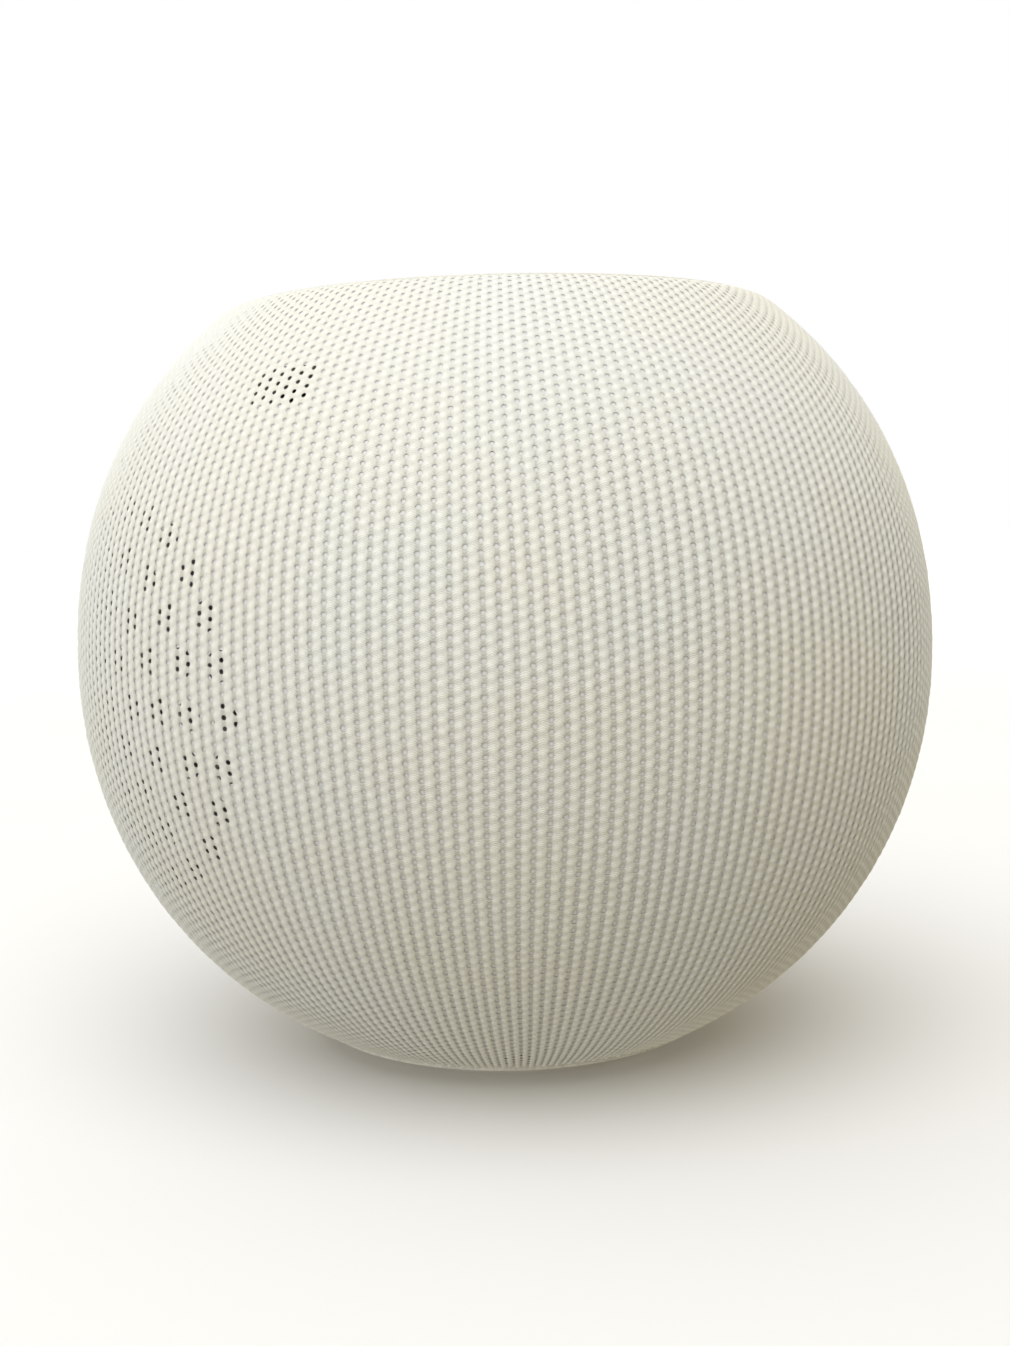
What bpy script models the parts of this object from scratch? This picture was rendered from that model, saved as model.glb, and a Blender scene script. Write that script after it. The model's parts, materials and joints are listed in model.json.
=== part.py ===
"""Ball-shaped table speaker with a knitted cover, in metres, +Z up, standing on the floor at the origin.

The front is -Y. Both sides (+X and -X) hold a field of sound holes with a passive radiator behind it.
Lengths below are in millimetres, and MM turns them into metres.
"""

import math

import bmesh
import bpy
from mathutils import Matrix, Vector

MM = 0.001

# The ball. Every nested surface is the same superellipse, drawn in by its inset.
BALL_RADIUS = 48.95
BALL_CENTRE_Z = 44.9
POWER_ABOVE = 2.1
POWER_BELOW = 2.05
TOP_Z = 84.3
KNIT_THICKNESS = 0.8
GAP = 0.3
SHELL_WALL = 2.4
SHELL_INSET = KNIT_THICKNESS + GAP
SHELL_MIDDLE = SHELL_INSET + SHELL_WALL / 2
SHELL_INSIDE = SHELL_INSET + SHELL_WALL
LATITUDE_STEP = 10
SEAM_Z = 66.4
LAP = 1.9

# The flat top, from the touch panel out to the knit's edge.
PANEL_RADIUS = 26.9
RING_INNER = PANEL_RADIUS + GAP
RING_OUTER = 28.3
KNIT_TOP_EDGE = RING_OUTER + GAP
KNIT_TOP_Z = 84.2
SHOULDER_RADIUS = 3.0
PANEL_BOTTOM_Z = KNIT_TOP_Z - KNIT_THICKNESS
FLANGE_TOP_Z = KNIT_TOP_Z - SHELL_INSET
FLANGE_RADIUS = 23.0
SENSOR_Z = (82.6, 83.1)
DIFFUSER_Z = (78.3, 82.3)
DIFFUSER_RADIUS = 22.4
DIFFUSER_WALL = 1.2
LED_BOARD_Z = (76.5, 77.7)
LED_BOARD_RADIUS = 20.0
LED_COUNT = 6
LED_RADIUS = 12.0
LED_SIZE = (1.8, 1.8, 1.0)

# The bottom, from the foot out to the knit's edge.
FOOT_INNER = 13.0
FOOT_OUTER = 19.5
FOOT_HEIGHT = 1.8
BASE_RADIUS = 20.9
BASE_FLANGE = 21.8
BASE_BOTTOM_Z = 1.3
BASE_TOP_Z = 5.3
BOWL_OPENING = 21.2
BOWL_BOTTOM_Z = 2.45

# The sound holes: rings, each turned a little, around an axis that dips a little below the horizontal.
HOLE_RADIUS = 1.55
HOLE_RING_STEP = 5.75
HOLE_RINGS = 4
HOLE_AXIS_DIP = 2.6
HOLE_FIELD_TURN = 1.5

# The microphone windows, given by their angle from the front and their latitude.
WINDOW_ANGLES = (-64.5, 64.5, -115.5, 115.5)
WINDOW_LATITUDE = 35.5
WINDOW_SIZE = (7.4, 4.6)

# The outlet slots for the driver's sound, low on the bowl.
SLOT_COUNT = 16
SLOT_RADIUS = 26.3
SLOT_SIZE = (4.2, 3.0)

# The power inlet at the back.
INLET_Z = 25.0
INLET_RADIUS = 8.0
INLET_POCKET = 6.6
INLET_FLOOR_Y = 39.6
INLET_BACK_Y = 37.4
INLET_SIDES = 20

# The boards.
MAIN_BOARD_Z = (66.8, 68.2)
MAIN_BOARD_RADIUS = 30.0
MAIN_BOARD_HALF_WIDTH = 25.5
POWER_BOARD_SIZE = (20.0, 1.2, 15.0)
POWER_BOARD_PLACE = (0.0, 32.0, 27.0)
POWER_LEAD_X = 8.0
POWER_LEAD_RADIUS = 0.7
SPEAKER_LEAD_X = 2.0
SPEAKER_LEAD_Y = 18.5
SPEAKER_LEAD_RADIUS = 0.55
MIC_BOARD_SIZE = (9.0, 7.0, 0.8)
MIC_CAN_SIZE = (3.0, 2.4, 1.2)

# The sealed box that holds the driver and the radiators.
BARREL_RADIUS = 29.0
BARREL_INNER = 27.0
BARREL_TOP_Z = 61.0
FLANGE_Z = (14.9, 17.5)
BOX_FLANGE_RADIUS = 33.5
BOX_SCREW_RADIUS = 31.5
DRIVER_SCREW_RADIUS = 24.8
BASE_SCREW_RADIUS = 8.0
DRIVER_OPENING = 21.3
GASKET_Z = (61.3, 61.9)
LID_Z = (62.2, 64.2)
LID_SPIGOT_Z = 60.0

# The driver, from the surround at the bottom up to the yoke.
SURROUND_LIP_Z = 12.7
SURROUND_LIP = 0.6
SURROUND_ROLL = (19.2, 1.6)
SPIDER_Z = 19.4
BASKET_WINDOW_SIZE = (12.0, 6.0, 3.6)
GAP_PLATE_Z = (24.7, 27.7)
MAGNET_Z = (28.0, 34.3)
YOKE_Z = (34.6, 37.6)
MOTOR_RADIUS = 15.0
POLE_RADIUS = 6.3
COIL_INNER = 6.7
COIL_OUTER = 7.55

# The passive radiators. Distances run outwards from the ball's axis.
RADIATOR_Z = 43.2
RADIATOR_BORE = 13.4
RADIATOR_OUTER = 17.2
RADIATOR_SEAT = 36.6
RADIATOR_ROLL = (12.2, 1.3)
DIAPHRAGM_RADIUS = 10.7
DIAPHRAGM_DEPTH = 1.4
WEIGHT_RADIUS = 6.5
WEIGHT_DEPTH = 3.2

BIG_STEPS = 32
BOX_STEPS = 24
MEDIUM_STEPS = 18
SMALL_STEPS = 12
TINY_STEPS = 8

COLLECTION_NAME = "ball_speaker"


def clear_scene():
    for obj in list(bpy.data.objects):
        bpy.data.objects.remove(obj, do_unlink=True)


def make_collection(name, hidden=False):
    collection = bpy.data.collections.new(name)
    bpy.context.scene.collection.children.link(collection)
    collection.hide_render = hidden
    return collection


def material(name, colour, roughness, metallic=0.0):
    made = bpy.data.materials.new(name)
    made.use_nodes = True
    shader = made.node_tree.nodes["Principled BSDF"]
    shader.inputs["Base Color"].default_value = (*colour, 1.0)
    shader.inputs["Roughness"].default_value = roughness
    shader.inputs["Metallic"].default_value = metallic
    return made


# Geometry helpers


def ball_radius(z, inset=0.0):
    """Radius of the ball's surface, drawn in by inset, at height z."""
    size = BALL_RADIUS - inset
    height = z - BALL_CENTRE_Z
    power = POWER_ABOVE if height > 0 else POWER_BELOW
    left = 1.0 - min(1.0, abs(height) / size) ** power
    return size * left ** (1.0 / power)


def ball_point(latitude, inset=0.0):
    """The point (radius, z) of the drawn-in surface at a latitude in degrees."""
    size = BALL_RADIUS - inset
    angle = math.radians(latitude)
    power = POWER_ABOVE if latitude > 0 else POWER_BELOW
    c = abs(math.cos(angle)) ** power
    s = abs(math.sin(angle)) ** power
    reach = size / (c + s) ** (1.0 / power)
    return (reach * math.cos(angle), BALL_CENTRE_Z + reach * math.sin(angle))


def ball_curve(inset, z_high, z_low):
    """Points down the drawn-in surface from z_high to z_low, at the latitudes that all surfaces share."""
    points = [(ball_radius(z_high, inset), z_high)]
    for latitude in range(80, -90, -LATITUDE_STEP):
        point = ball_point(latitude, inset)
        if z_low + 0.8 < point[1] < z_high - 0.8:
            points.append(point)
    points.append((ball_radius(z_low, inset), z_low))
    return points


def shoulder(inset, top_z, radius, count):
    """The rounded corner between the flat top and the ball's side, from the top outwards."""
    centre_z = top_z - radius
    centre_r = ball_radius(centre_z, inset + radius)
    power = POWER_ABOVE - 1.0
    lowest = math.atan2((centre_z - BALL_CENTRE_Z) ** power, centre_r**power)
    points = []
    for i in range(count + 1):
        angle = math.pi / 2 + (lowest - math.pi / 2) * i / count
        points.append((centre_r + radius * math.cos(angle), centre_z + radius * math.sin(angle)))
    return points


def half_roll(centre_r, centre_h, radius, count, side):
    """A half circle from the outer edge to the inner edge, bulging to +h or -h."""
    points = []
    for i in range(count + 1):
        angle = math.pi * i / count
        points.append((centre_r + radius * math.cos(angle), centre_h + side * radius * math.sin(angle)))
    return points


def radial(angle, radius, z=0.0):
    """A point at an angle in degrees from the front, turning from -X's side to +X's side."""
    way = math.radians(angle)
    return Vector((radius * math.sin(way), -radius * math.cos(way), z))


# Object helpers


def add_object(name, data, look, collection):
    obj = bpy.data.objects.new(name, data)
    collection.objects.link(obj)
    if look:
        data.materials.append(look)
    return obj


def settle(obj, sharp_angle=32):
    """Turns an object's modifiers or curve into its mesh, welded and shaded smooth."""
    bpy.context.view_layer.update()
    graph = bpy.context.evaluated_depsgraph_get()
    mesh = bpy.data.meshes.new_from_object(obj.evaluated_get(graph))
    bm = bmesh.new()
    bm.from_mesh(mesh)
    bmesh.ops.remove_doubles(bm, verts=bm.verts, dist=0.002 * MM)
    bm.to_mesh(mesh)
    bm.free()
    mesh.shade_smooth()
    mesh.set_sharp_from_angle(angle=math.radians(sharp_angle))
    made = bpy.data.objects.new("settled", mesh)
    for collection in obj.users_collection:
        collection.objects.link(made)
    made.matrix_world = obj.matrix_world
    name = obj.name
    bpy.data.objects.remove(obj, do_unlink=True)
    made.name = name
    mesh.name = name
    return made


def turned(name, profile, look, collection, steps=MEDIUM_STEPS, closed=True):
    """A profile of (radius, z) turned about Z. The profile runs down its outer side."""
    mesh = bpy.data.meshes.new(name)
    count = len(profile)
    edges = [(i, i + 1) for i in range(count - 1)]
    if closed:
        edges.append((count - 1, 0))
    mesh.from_pydata([(r * MM, 0.0, z * MM) for r, z in profile], edges, [])
    obj = add_object(name, mesh, look, collection)
    screw = obj.modifiers.new("turn", "SCREW")
    screw.axis = "Z"
    screw.angle = 2 * math.pi
    screw.steps = steps
    screw.render_steps = steps
    screw.use_merge_vertices = True
    screw.merge_threshold = 0.002 * MM
    return settle(obj)


def disc(name, radius, heights, look, collection):
    """A plain round plate between two heights."""
    low, high = heights
    profile = [(0.0, high), (radius, high), (radius, low), (0.0, low)]
    return turned(name, profile, look, collection, closed=False)


def block(name, size, location, look, collection, bevel=0.3, rotation=None):
    """A box with rounded edges."""
    mesh = bpy.data.meshes.new(name)
    bm = bmesh.new()
    bmesh.ops.create_cube(bm, size=1.0, matrix=Matrix.Diagonal((*[side * MM for side in size], 1.0)))
    bm.to_mesh(mesh)
    bm.free()
    obj = add_object(name, mesh, look, collection)
    obj.location = Vector(location) * MM
    if rotation:
        obj.rotation_euler = rotation
    if bevel:
        rounding = obj.modifiers.new("round", "BEVEL")
        rounding.width = bevel * MM
        rounding.segments = 1
    return obj


def rod(name, radius, start, end, collection, sides=TINY_STEPS, look=None):
    """A round bar between two points, mostly used as a cutter."""
    start = Vector(start) * MM
    end = Vector(end) * MM
    way = end - start
    turn = way.to_track_quat("Z", "Y").to_matrix().to_4x4()
    mesh = bpy.data.meshes.new(name)
    bm = bmesh.new()
    bmesh.ops.create_cone(
        bm,
        cap_ends=True,
        segments=sides,
        radius1=radius * MM,
        radius2=radius * MM,
        depth=way.length,
        matrix=Matrix.Translation((start + end) / 2) @ turn,
    )
    bm.to_mesh(mesh)
    bm.free()
    return add_object(name, mesh, look, collection)


def joined(name, pieces, collection):
    """One cutter made of several that don't touch."""
    bm = bmesh.new()
    for piece in pieces:
        piece.data.transform(piece.matrix_basis)
        bm.from_mesh(piece.data)
        bpy.data.objects.remove(piece, do_unlink=True)
    mesh = bpy.data.meshes.new(name)
    bm.to_mesh(mesh)
    bm.free()
    return add_object(name, mesh, None, collection)


def combine(obj, other, operation="DIFFERENCE"):
    """A live Boolean with a helper, which is kept out of the part."""
    other.hide_render = True
    other.display_type = "WIRE"
    boolean = obj.modifiers.new(other.name, "BOOLEAN")
    boolean.operation = operation
    boolean.object = other
    return obj


def wire(name, points, radius, look, collection):
    """A round lead through the given points."""
    curve = bpy.data.curves.new(name, "CURVE")
    curve.dimensions = "3D"
    curve.bevel_depth = radius * MM
    curve.bevel_resolution = 1
    curve.use_fill_caps = True
    line = curve.splines.new("POLY")
    line.points.add(len(points) - 1)
    for spot, point in zip(line.points, points):
        spot.co = (*[c * MM for c in point], 1.0)
    return settle(add_object(name, curve, look, collection), 60)


def smooth_route(points, pieces):
    """Catmull-Rom points through a route."""
    padded = [points[0], *points, points[-1]]
    found = []
    for i in range(1, len(padded) - 2):
        a, b, c, d = (Vector(p) for p in padded[i - 1 : i + 3])
        for k in range(pieces):
            t = k / pieces
            square = 2 * a - 5 * b + 4 * c - d
            cube = 3 * b - a - 3 * c + d
            found.append(0.5 * (2 * b + (c - a) * t + square * t**2 + cube * t**3))
    found.append(Vector(points[-1]))
    return found


def copies(name, original, places, collection):
    """Objects that share the first one's mesh, one at each place."""
    for i, place in enumerate(places):
        copy = bpy.data.objects.new(f"{name}_{i + 1}", original.data)
        collection.objects.link(copy)
        copy.location = Vector(place) * MM
    bpy.data.objects.remove(original, do_unlink=True)


def quarter_places(radius, z):
    return [radial(angle, radius, z) for angle in (45, 135, 225, 315)]


def screw_blank(name, head_radius, head_height, shank_radius, length, up, look, parts, cutters):
    """A screw with its head's underside at the origin. Its shank points up or down."""
    way = 1 if up else -1
    profile = [
        (0.0, -way * head_height),
        (head_radius * 0.75, -way * head_height),
        (head_radius, -way * head_height * 0.55),
        (head_radius, 0.0),
        (shank_radius, 0.0),
        (shank_radius, way * (length - 0.5)),
        (0.0, way * length),
    ]
    if up:
        profile.reverse()
    screw = turned(name, profile, look, parts, TINY_STEPS, closed=False)
    top = -way * head_height
    drive = rod(f"{name}_drive", head_radius * 0.45, (0, 0, top * 1.5), (0, 0, top * 0.4), cutters, 6)
    return settle(combine(screw, drive))


# The outer skin


def make_fabric_cover(look, parts, cutters):
    outer = [(KNIT_TOP_EDGE, KNIT_TOP_Z), *shoulder(0.0, KNIT_TOP_Z, SHOULDER_RADIUS, 3)]
    outer += ball_curve(0.0, outer[-1][1] - 0.01, BASE_BOTTOM_Z - 0.1)[1:]
    inside_top = KNIT_TOP_Z - KNIT_THICKNESS
    inner = [(KNIT_TOP_EDGE, inside_top)]
    inner += shoulder(KNIT_THICKNESS, inside_top, SHOULDER_RADIUS - KNIT_THICKNESS, 2)
    inner += ball_curve(KNIT_THICKNESS, inner[-1][1] - 0.01, BASE_BOTTOM_Z + 0.9)[1:]
    cover = turned("fabric_cover", outer + inner[::-1], look, parts, BIG_STEPS)
    hole = rod("fabric_inlet_hole", INLET_RADIUS + GAP, (0, 30, INLET_Z), (0, 60, INLET_Z), cutters, INLET_SIDES)
    return combine(cover, hole)


def make_upper_shell(look, parts, cutters):
    outer = [(FLANGE_RADIUS, FLANGE_TOP_Z)]
    outer += shoulder(SHELL_INSET, FLANGE_TOP_Z, SHOULDER_RADIUS - SHELL_INSET, 2)
    seam = SEAM_Z + GAP / 2
    outer += ball_curve(SHELL_INSET, outer[-1][1] - 0.01, seam)[1:]
    lap_bottom = seam - LAP
    lap_inset = SHELL_MIDDLE + GAP / 2
    outer += [(ball_radius(seam, lap_inset), seam), (ball_radius(lap_bottom, lap_inset), lap_bottom)]
    underside = FLANGE_TOP_Z - SHELL_WALL
    inner = [(FLANGE_RADIUS, underside), *ball_curve(SHELL_INSIDE, underside, lap_bottom)]
    crown = turned("upper_shell", outer + inner[::-1], look, parts, BIG_STEPS)
    windows = []
    for i, angle in enumerate(WINDOW_ANGLES):
        windows.append(make_window_cutter(f"window_{i}", angle, cutters))
    return combine(crown, joined("mic_windows", windows, cutters))


def facing(angle, latitude):
    """A rotation whose local Z points out of the ball, with local X level."""
    out = radial(angle, math.cos(math.radians(latitude)), math.sin(math.radians(latitude)))
    level = Vector((0, 0, 1)).cross(out).normalized()
    return Matrix((level, out.cross(level), out)).transposed()


def make_window_cutter(name, angle, cutters):
    turn = facing(angle, WINDOW_LATITUDE)
    centre = Vector((0, 0, BALL_CENTRE_Z)) + turn.col[2] * (BALL_RADIUS - SHELL_MIDDLE)
    window = block(name, (*WINDOW_SIZE, 9.0), centre, None, cutters, 0.0, turn.to_euler())
    rounding = window.modifiers.new("corners", "BEVEL")
    rounding.width = 1.2 * MM
    rounding.segments = 2
    return settle(window)


def hole_directions():
    """Unit vectors from the ball's centre to each sound hole on the +X side."""
    dip = math.radians(HOLE_AXIS_DIP)
    axis = Vector((math.cos(dip), 0, -math.sin(dip)))
    level = Vector((0, 1, 0))
    upright = level.cross(axis) * -1
    found = [axis]
    for ring in range(1, HOLE_RINGS + 1):
        lean = math.radians(HOLE_RING_STEP * ring)
        for i in range(6 * ring):
            turn = 2 * math.pi * i / (6 * ring) + math.radians(HOLE_FIELD_TURN)
            across = level * math.cos(turn) + upright * math.sin(turn)
            found.append(axis * math.cos(lean) + across * math.sin(lean))
    return found


def make_lower_shell(look, parts, cutters):
    seam = SEAM_Z - GAP / 2
    outer = ball_curve(SHELL_INSET, seam, BOWL_BOTTOM_Z + 0.15)
    ledge_z = BASE_TOP_Z - 0.1
    foot = [(BOWL_OPENING, BOWL_BOTTOM_Z), (BOWL_OPENING, ledge_z), (ball_radius(ledge_z, SHELL_INSIDE), ledge_z)]
    lap_bottom = seam - LAP
    inner = ball_curve(SHELL_INSIDE, lap_bottom, ledge_z + 0.9)[::-1]
    lap_inset = SHELL_MIDDLE - GAP / 2
    lap = [(ball_radius(lap_bottom, lap_inset), lap_bottom), (ball_radius(seam, lap_inset), seam)]
    bowl = turned("lower_shell", outer + foot + inner + lap, look, parts, BIG_STEPS)

    bosses = []
    screw_holes = []
    for i, place in enumerate(quarter_places(BOX_SCREW_RADIUS, 0)):
        low = place + Vector((0, 0, 11.3))
        high = place + Vector((0, 0, FLANGE_Z[0] - GAP))
        bosses.append(rod(f"boss_{i}", 2.2, low, high, cutters, 12))
        low_hole = place + Vector((0, 0, 12.0))
        high_hole = place + Vector((0, 0, 20.0))
        screw_holes.append(rod(f"boss_hole_{i}", 1.2, low_hole, high_hole, cutters))
    combine(bowl, joined("bosses", bosses, cutters), "UNION")
    combine(bowl, joined("boss_holes", screw_holes, cutters))

    holes = []
    centre = Vector((0, 0, BALL_CENTRE_Z))
    for side in (-1, 1):
        for i, way in enumerate(hole_directions()):
            out = Vector((side * way.x, way.y, way.z))
            near = centre + out * 40
            far = centre + out * 55
            holes.append(rod(f"hole_{side}_{i}", HOLE_RADIUS, near, far, cutters, 6))
    combine(bowl, joined("sound_holes", holes, cutters))

    slots = []
    for i in range(SLOT_COUNT):
        angle = 360 * (i + 0.5) / SLOT_COUNT
        place = radial(angle, SLOT_RADIUS, 6.5)
        turn = (0, 0, math.radians(angle - 90))
        slots.append(block(f"slot_{i}", (*SLOT_SIZE, 12.0), place, None, cutters, 0.0, turn))
    combine(bowl, joined("outlet_slots", slots, cutters))

    hole = rod("bowl_inlet_hole", INLET_RADIUS + GAP, (0, 30, INLET_Z), (0, 60, INLET_Z), cutters, INLET_SIDES)
    return combine(bowl, hole)


# The top


def make_top(looks, parts, cutters):
    panel = [
        (0.0, TOP_Z),
        (PANEL_RADIUS - 0.5, TOP_Z),
        (PANEL_RADIUS, TOP_Z - 0.4),
        (PANEL_RADIUS, PANEL_BOTTOM_Z),
        (0.0, PANEL_BOTTOM_Z),
    ]
    turned("touch_panel", panel, looks["panel"], parts, BIG_STEPS, closed=False)
    ring = [
        (RING_INNER, TOP_Z - 0.35),
        (RING_INNER + 0.3, TOP_Z - 0.1),
        (RING_OUTER - 0.3, TOP_Z - 0.1),
        (RING_OUTER, TOP_Z - 0.35),
        (RING_OUTER, PANEL_BOTTOM_Z),
        (RING_INNER, PANEL_BOTTOM_Z),
    ]
    turned("top_trim_ring", ring, looks["trim"], parts, BIG_STEPS)
    disc("touch_sensor", DIFFUSER_RADIUS, SENSOR_Z, looks["film"], parts)
    low, high = DIFFUSER_Z
    wall_inner = DIFFUSER_RADIUS - DIFFUSER_WALL
    diffuser = [
        (0.0, high),
        (DIFFUSER_RADIUS, high),
        (DIFFUSER_RADIUS, low),
        (wall_inner, low),
        (wall_inner, high - DIFFUSER_WALL),
        (0.0, high - DIFFUSER_WALL),
    ]
    turned("light_diffuser", diffuser, looks["diffuser"], parts, MEDIUM_STEPS, closed=False)
    led_board = disc("led_board", LED_BOARD_RADIUS, LED_BOARD_Z, looks["circuit"], parts)
    lights = []
    for i in range(LED_COUNT):
        place = radial(360 * i / LED_COUNT, LED_RADIUS, LED_BOARD_Z[1] + 0.3)
        lights.append(block(f"led_{i}", LED_SIZE, place, None, cutters, 0.0))
    combine(led_board, joined("leds", lights, cutters), "UNION")
    make_ribbon(looks["flex"], parts)


def make_ribbon(look, parts):
    """The flat cable from the led board's edge down to the main board, as a bent outline given a width."""
    middle = [(20.4, 77.1), (22.6, 77.0), (24.4, 75.2), (24.4, 71.0), (23.4, 69.2), (21.0, 68.8)]
    half = 0.2
    above = []
    below = []
    for i, (x, z) in enumerate(middle):
        before = Vector(middle[max(i - 1, 0)])
        after = Vector(middle[min(i + 1, len(middle) - 1)])
        way = (after - before).normalized()
        above.append((x - way.y * half, z + way.x * half))
        below.append((x + way.y * half, z - way.x * half))
    curve = bpy.data.curves.new("top_ribbon", "CURVE")
    curve.dimensions = "2D"
    curve.fill_mode = "BOTH"
    curve.extrude = 4.0 * MM
    outline = above + below[::-1]
    line = curve.splines.new("POLY")
    line.points.add(len(outline) - 1)
    for spot, (x, z) in zip(line.points, outline):
        spot.co = (x * MM, z * MM, 0.0, 1.0)
    line.use_cyclic_u = True
    ribbon = add_object("top_ribbon", curve, look, parts)
    ribbon.rotation_euler = (math.pi / 2, 0, 0)
    return settle(ribbon)


# The electronics


def make_electronics(looks, parts, cutters):
    main_board = disc("main_board", MAIN_BOARD_RADIUS, MAIN_BOARD_Z, looks["circuit"], parts)
    trim_width = 8.0
    trims = []
    for side in (-1, 1):
        place = (0, side * (MAIN_BOARD_HALF_WIDTH + trim_width / 2), MAIN_BOARD_Z[0])
        trims.append(block(f"trim_{side}", (2.2 * MAIN_BOARD_RADIUS, trim_width, 6), place, None, cutters, 0.0))
    combine(main_board, joined("board_trims", trims, cutters))
    block("heat_spreader", (36, 32, 1.4), (0, 0, 65.5), looks["aluminium"], parts, 0.4)
    block("shield_can", (24, 18, 2.8), (-2, 0, 69.9), looks["tin"], parts, 0.5)
    block("inductor", (7, 7, 3.6), (16.0, -13.0, 70.3), looks["ferrite"], parts, 0.6)
    can = [(0.0, 74.0), (2.8, 74.0), (3.2, 73.5), (3.2, 68.5), (0.0, 68.5)]
    capacitor = turned("capacitor", can, looks["can"], parts, 12, closed=False)
    capacitor.location = Vector((16.0, 13.5, 0)) * MM
    for i, angle in enumerate(WINDOW_ANGLES):
        make_mic_board(i + 1, angle, looks["circuit"], parts, cutters)
    block("power_board", POWER_BOARD_SIZE, POWER_BOARD_PLACE, looks["circuit"], parts, 0.0)
    x = POWER_LEAD_X
    route = [(x, 32.2, 34.9), (x, 32.7, 44), (x, 32.6, 55), (x, 31.8, 62.0), (x, 30.2, 65.3), (x, 28.2, 65.9)]
    wire("power_lead", smooth_route(route, 3), POWER_LEAD_RADIUS, looks["black_wire"], parts)


def make_mic_board(number, angle, look, parts, cutters):
    turn = facing(angle, WINDOW_LATITUDE)
    reach = BALL_RADIUS - SHELL_INSIDE - 1.3
    centre = Vector((0, 0, BALL_CENTRE_Z)) + turn.col[2] * reach
    board = block(f"mic_board_{number}", MIC_BOARD_SIZE, centre, look, parts, 0.0, turn.to_euler())
    inside = centre - turn.col[2] * 0.7
    can = block(f"mic_can_{number}", MIC_CAN_SIZE, inside, None, cutters, 0.0, turn.to_euler())
    return combine(board, can, "UNION")


def make_inlet(looks, parts, cutters):
    bezel = rod("inlet_bezel", INLET_RADIUS, (0, INLET_BACK_Y, INLET_Z), (0, BALL_RADIUS, INLET_Z), parts,
                INLET_SIDES, looks["trim"])
    ball = [(0.0, BALL_CENTRE_Z + BALL_RADIUS)]
    ball += [ball_point(latitude) for latitude in range(80, -90, -5)]
    ball += [(0.0, BALL_CENTRE_Z - BALL_RADIUS)]
    combine(bezel, turned("ball_limit", ball, None, cutters, 60, closed=False), "INTERSECT")
    pocket = rod("inlet_pocket", INLET_POCKET, (0, INLET_FLOOR_Y, INLET_Z), (0, 60, INLET_Z), cutters, INLET_SIDES)
    combine(bezel, pocket)
    combine(bezel, make_oval("inlet_slot", 9.8, 4.0, 30.0, 50.0, None, cutters))
    socket = make_oval("inlet_socket", 9.0, 3.2, 33.2, INLET_FLOOR_Y + 0.4, looks["steel"], parts)
    combine(socket, make_oval("inlet_throat", 8.2, 2.4, 35.0, 60.0, None, cutters))
    tongue = block("inlet_tongue", (6.4, 5.0, 0.7), (0, 36.8, INLET_Z), None, cutters, 0.0)
    combine(socket, tongue, "UNION")


def make_oval(name, width, height, low_y, high_y, look, collection):
    """A bar along Y with half-round ends."""
    curve = bpy.data.curves.new(name, "CURVE")
    curve.dimensions = "2D"
    curve.fill_mode = "BOTH"
    curve.extrude = (high_y - low_y) / 2 * MM
    half = height / 2
    reach = width / 2 - half
    outline = []
    for side in (1, -1):
        for i in range(7):
            angle = math.pi * i / 6 - math.pi / 2
            outline.append((side * (reach + half * math.cos(angle)), side * half * math.sin(angle)))
    line = curve.splines.new("POLY")
    line.points.add(len(outline) - 1)
    for spot, (x, z) in zip(line.points, outline):
        spot.co = (x * MM, z * MM, 0.0, 1.0)
    line.use_cyclic_u = True
    oval = add_object(name, curve, look, collection)
    oval.rotation_euler = (math.pi / 2, 0, 0)
    oval.location = Vector((0, (low_y + high_y) / 2, INLET_Z)) * MM
    return settle(oval)


# The sealed box


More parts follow.
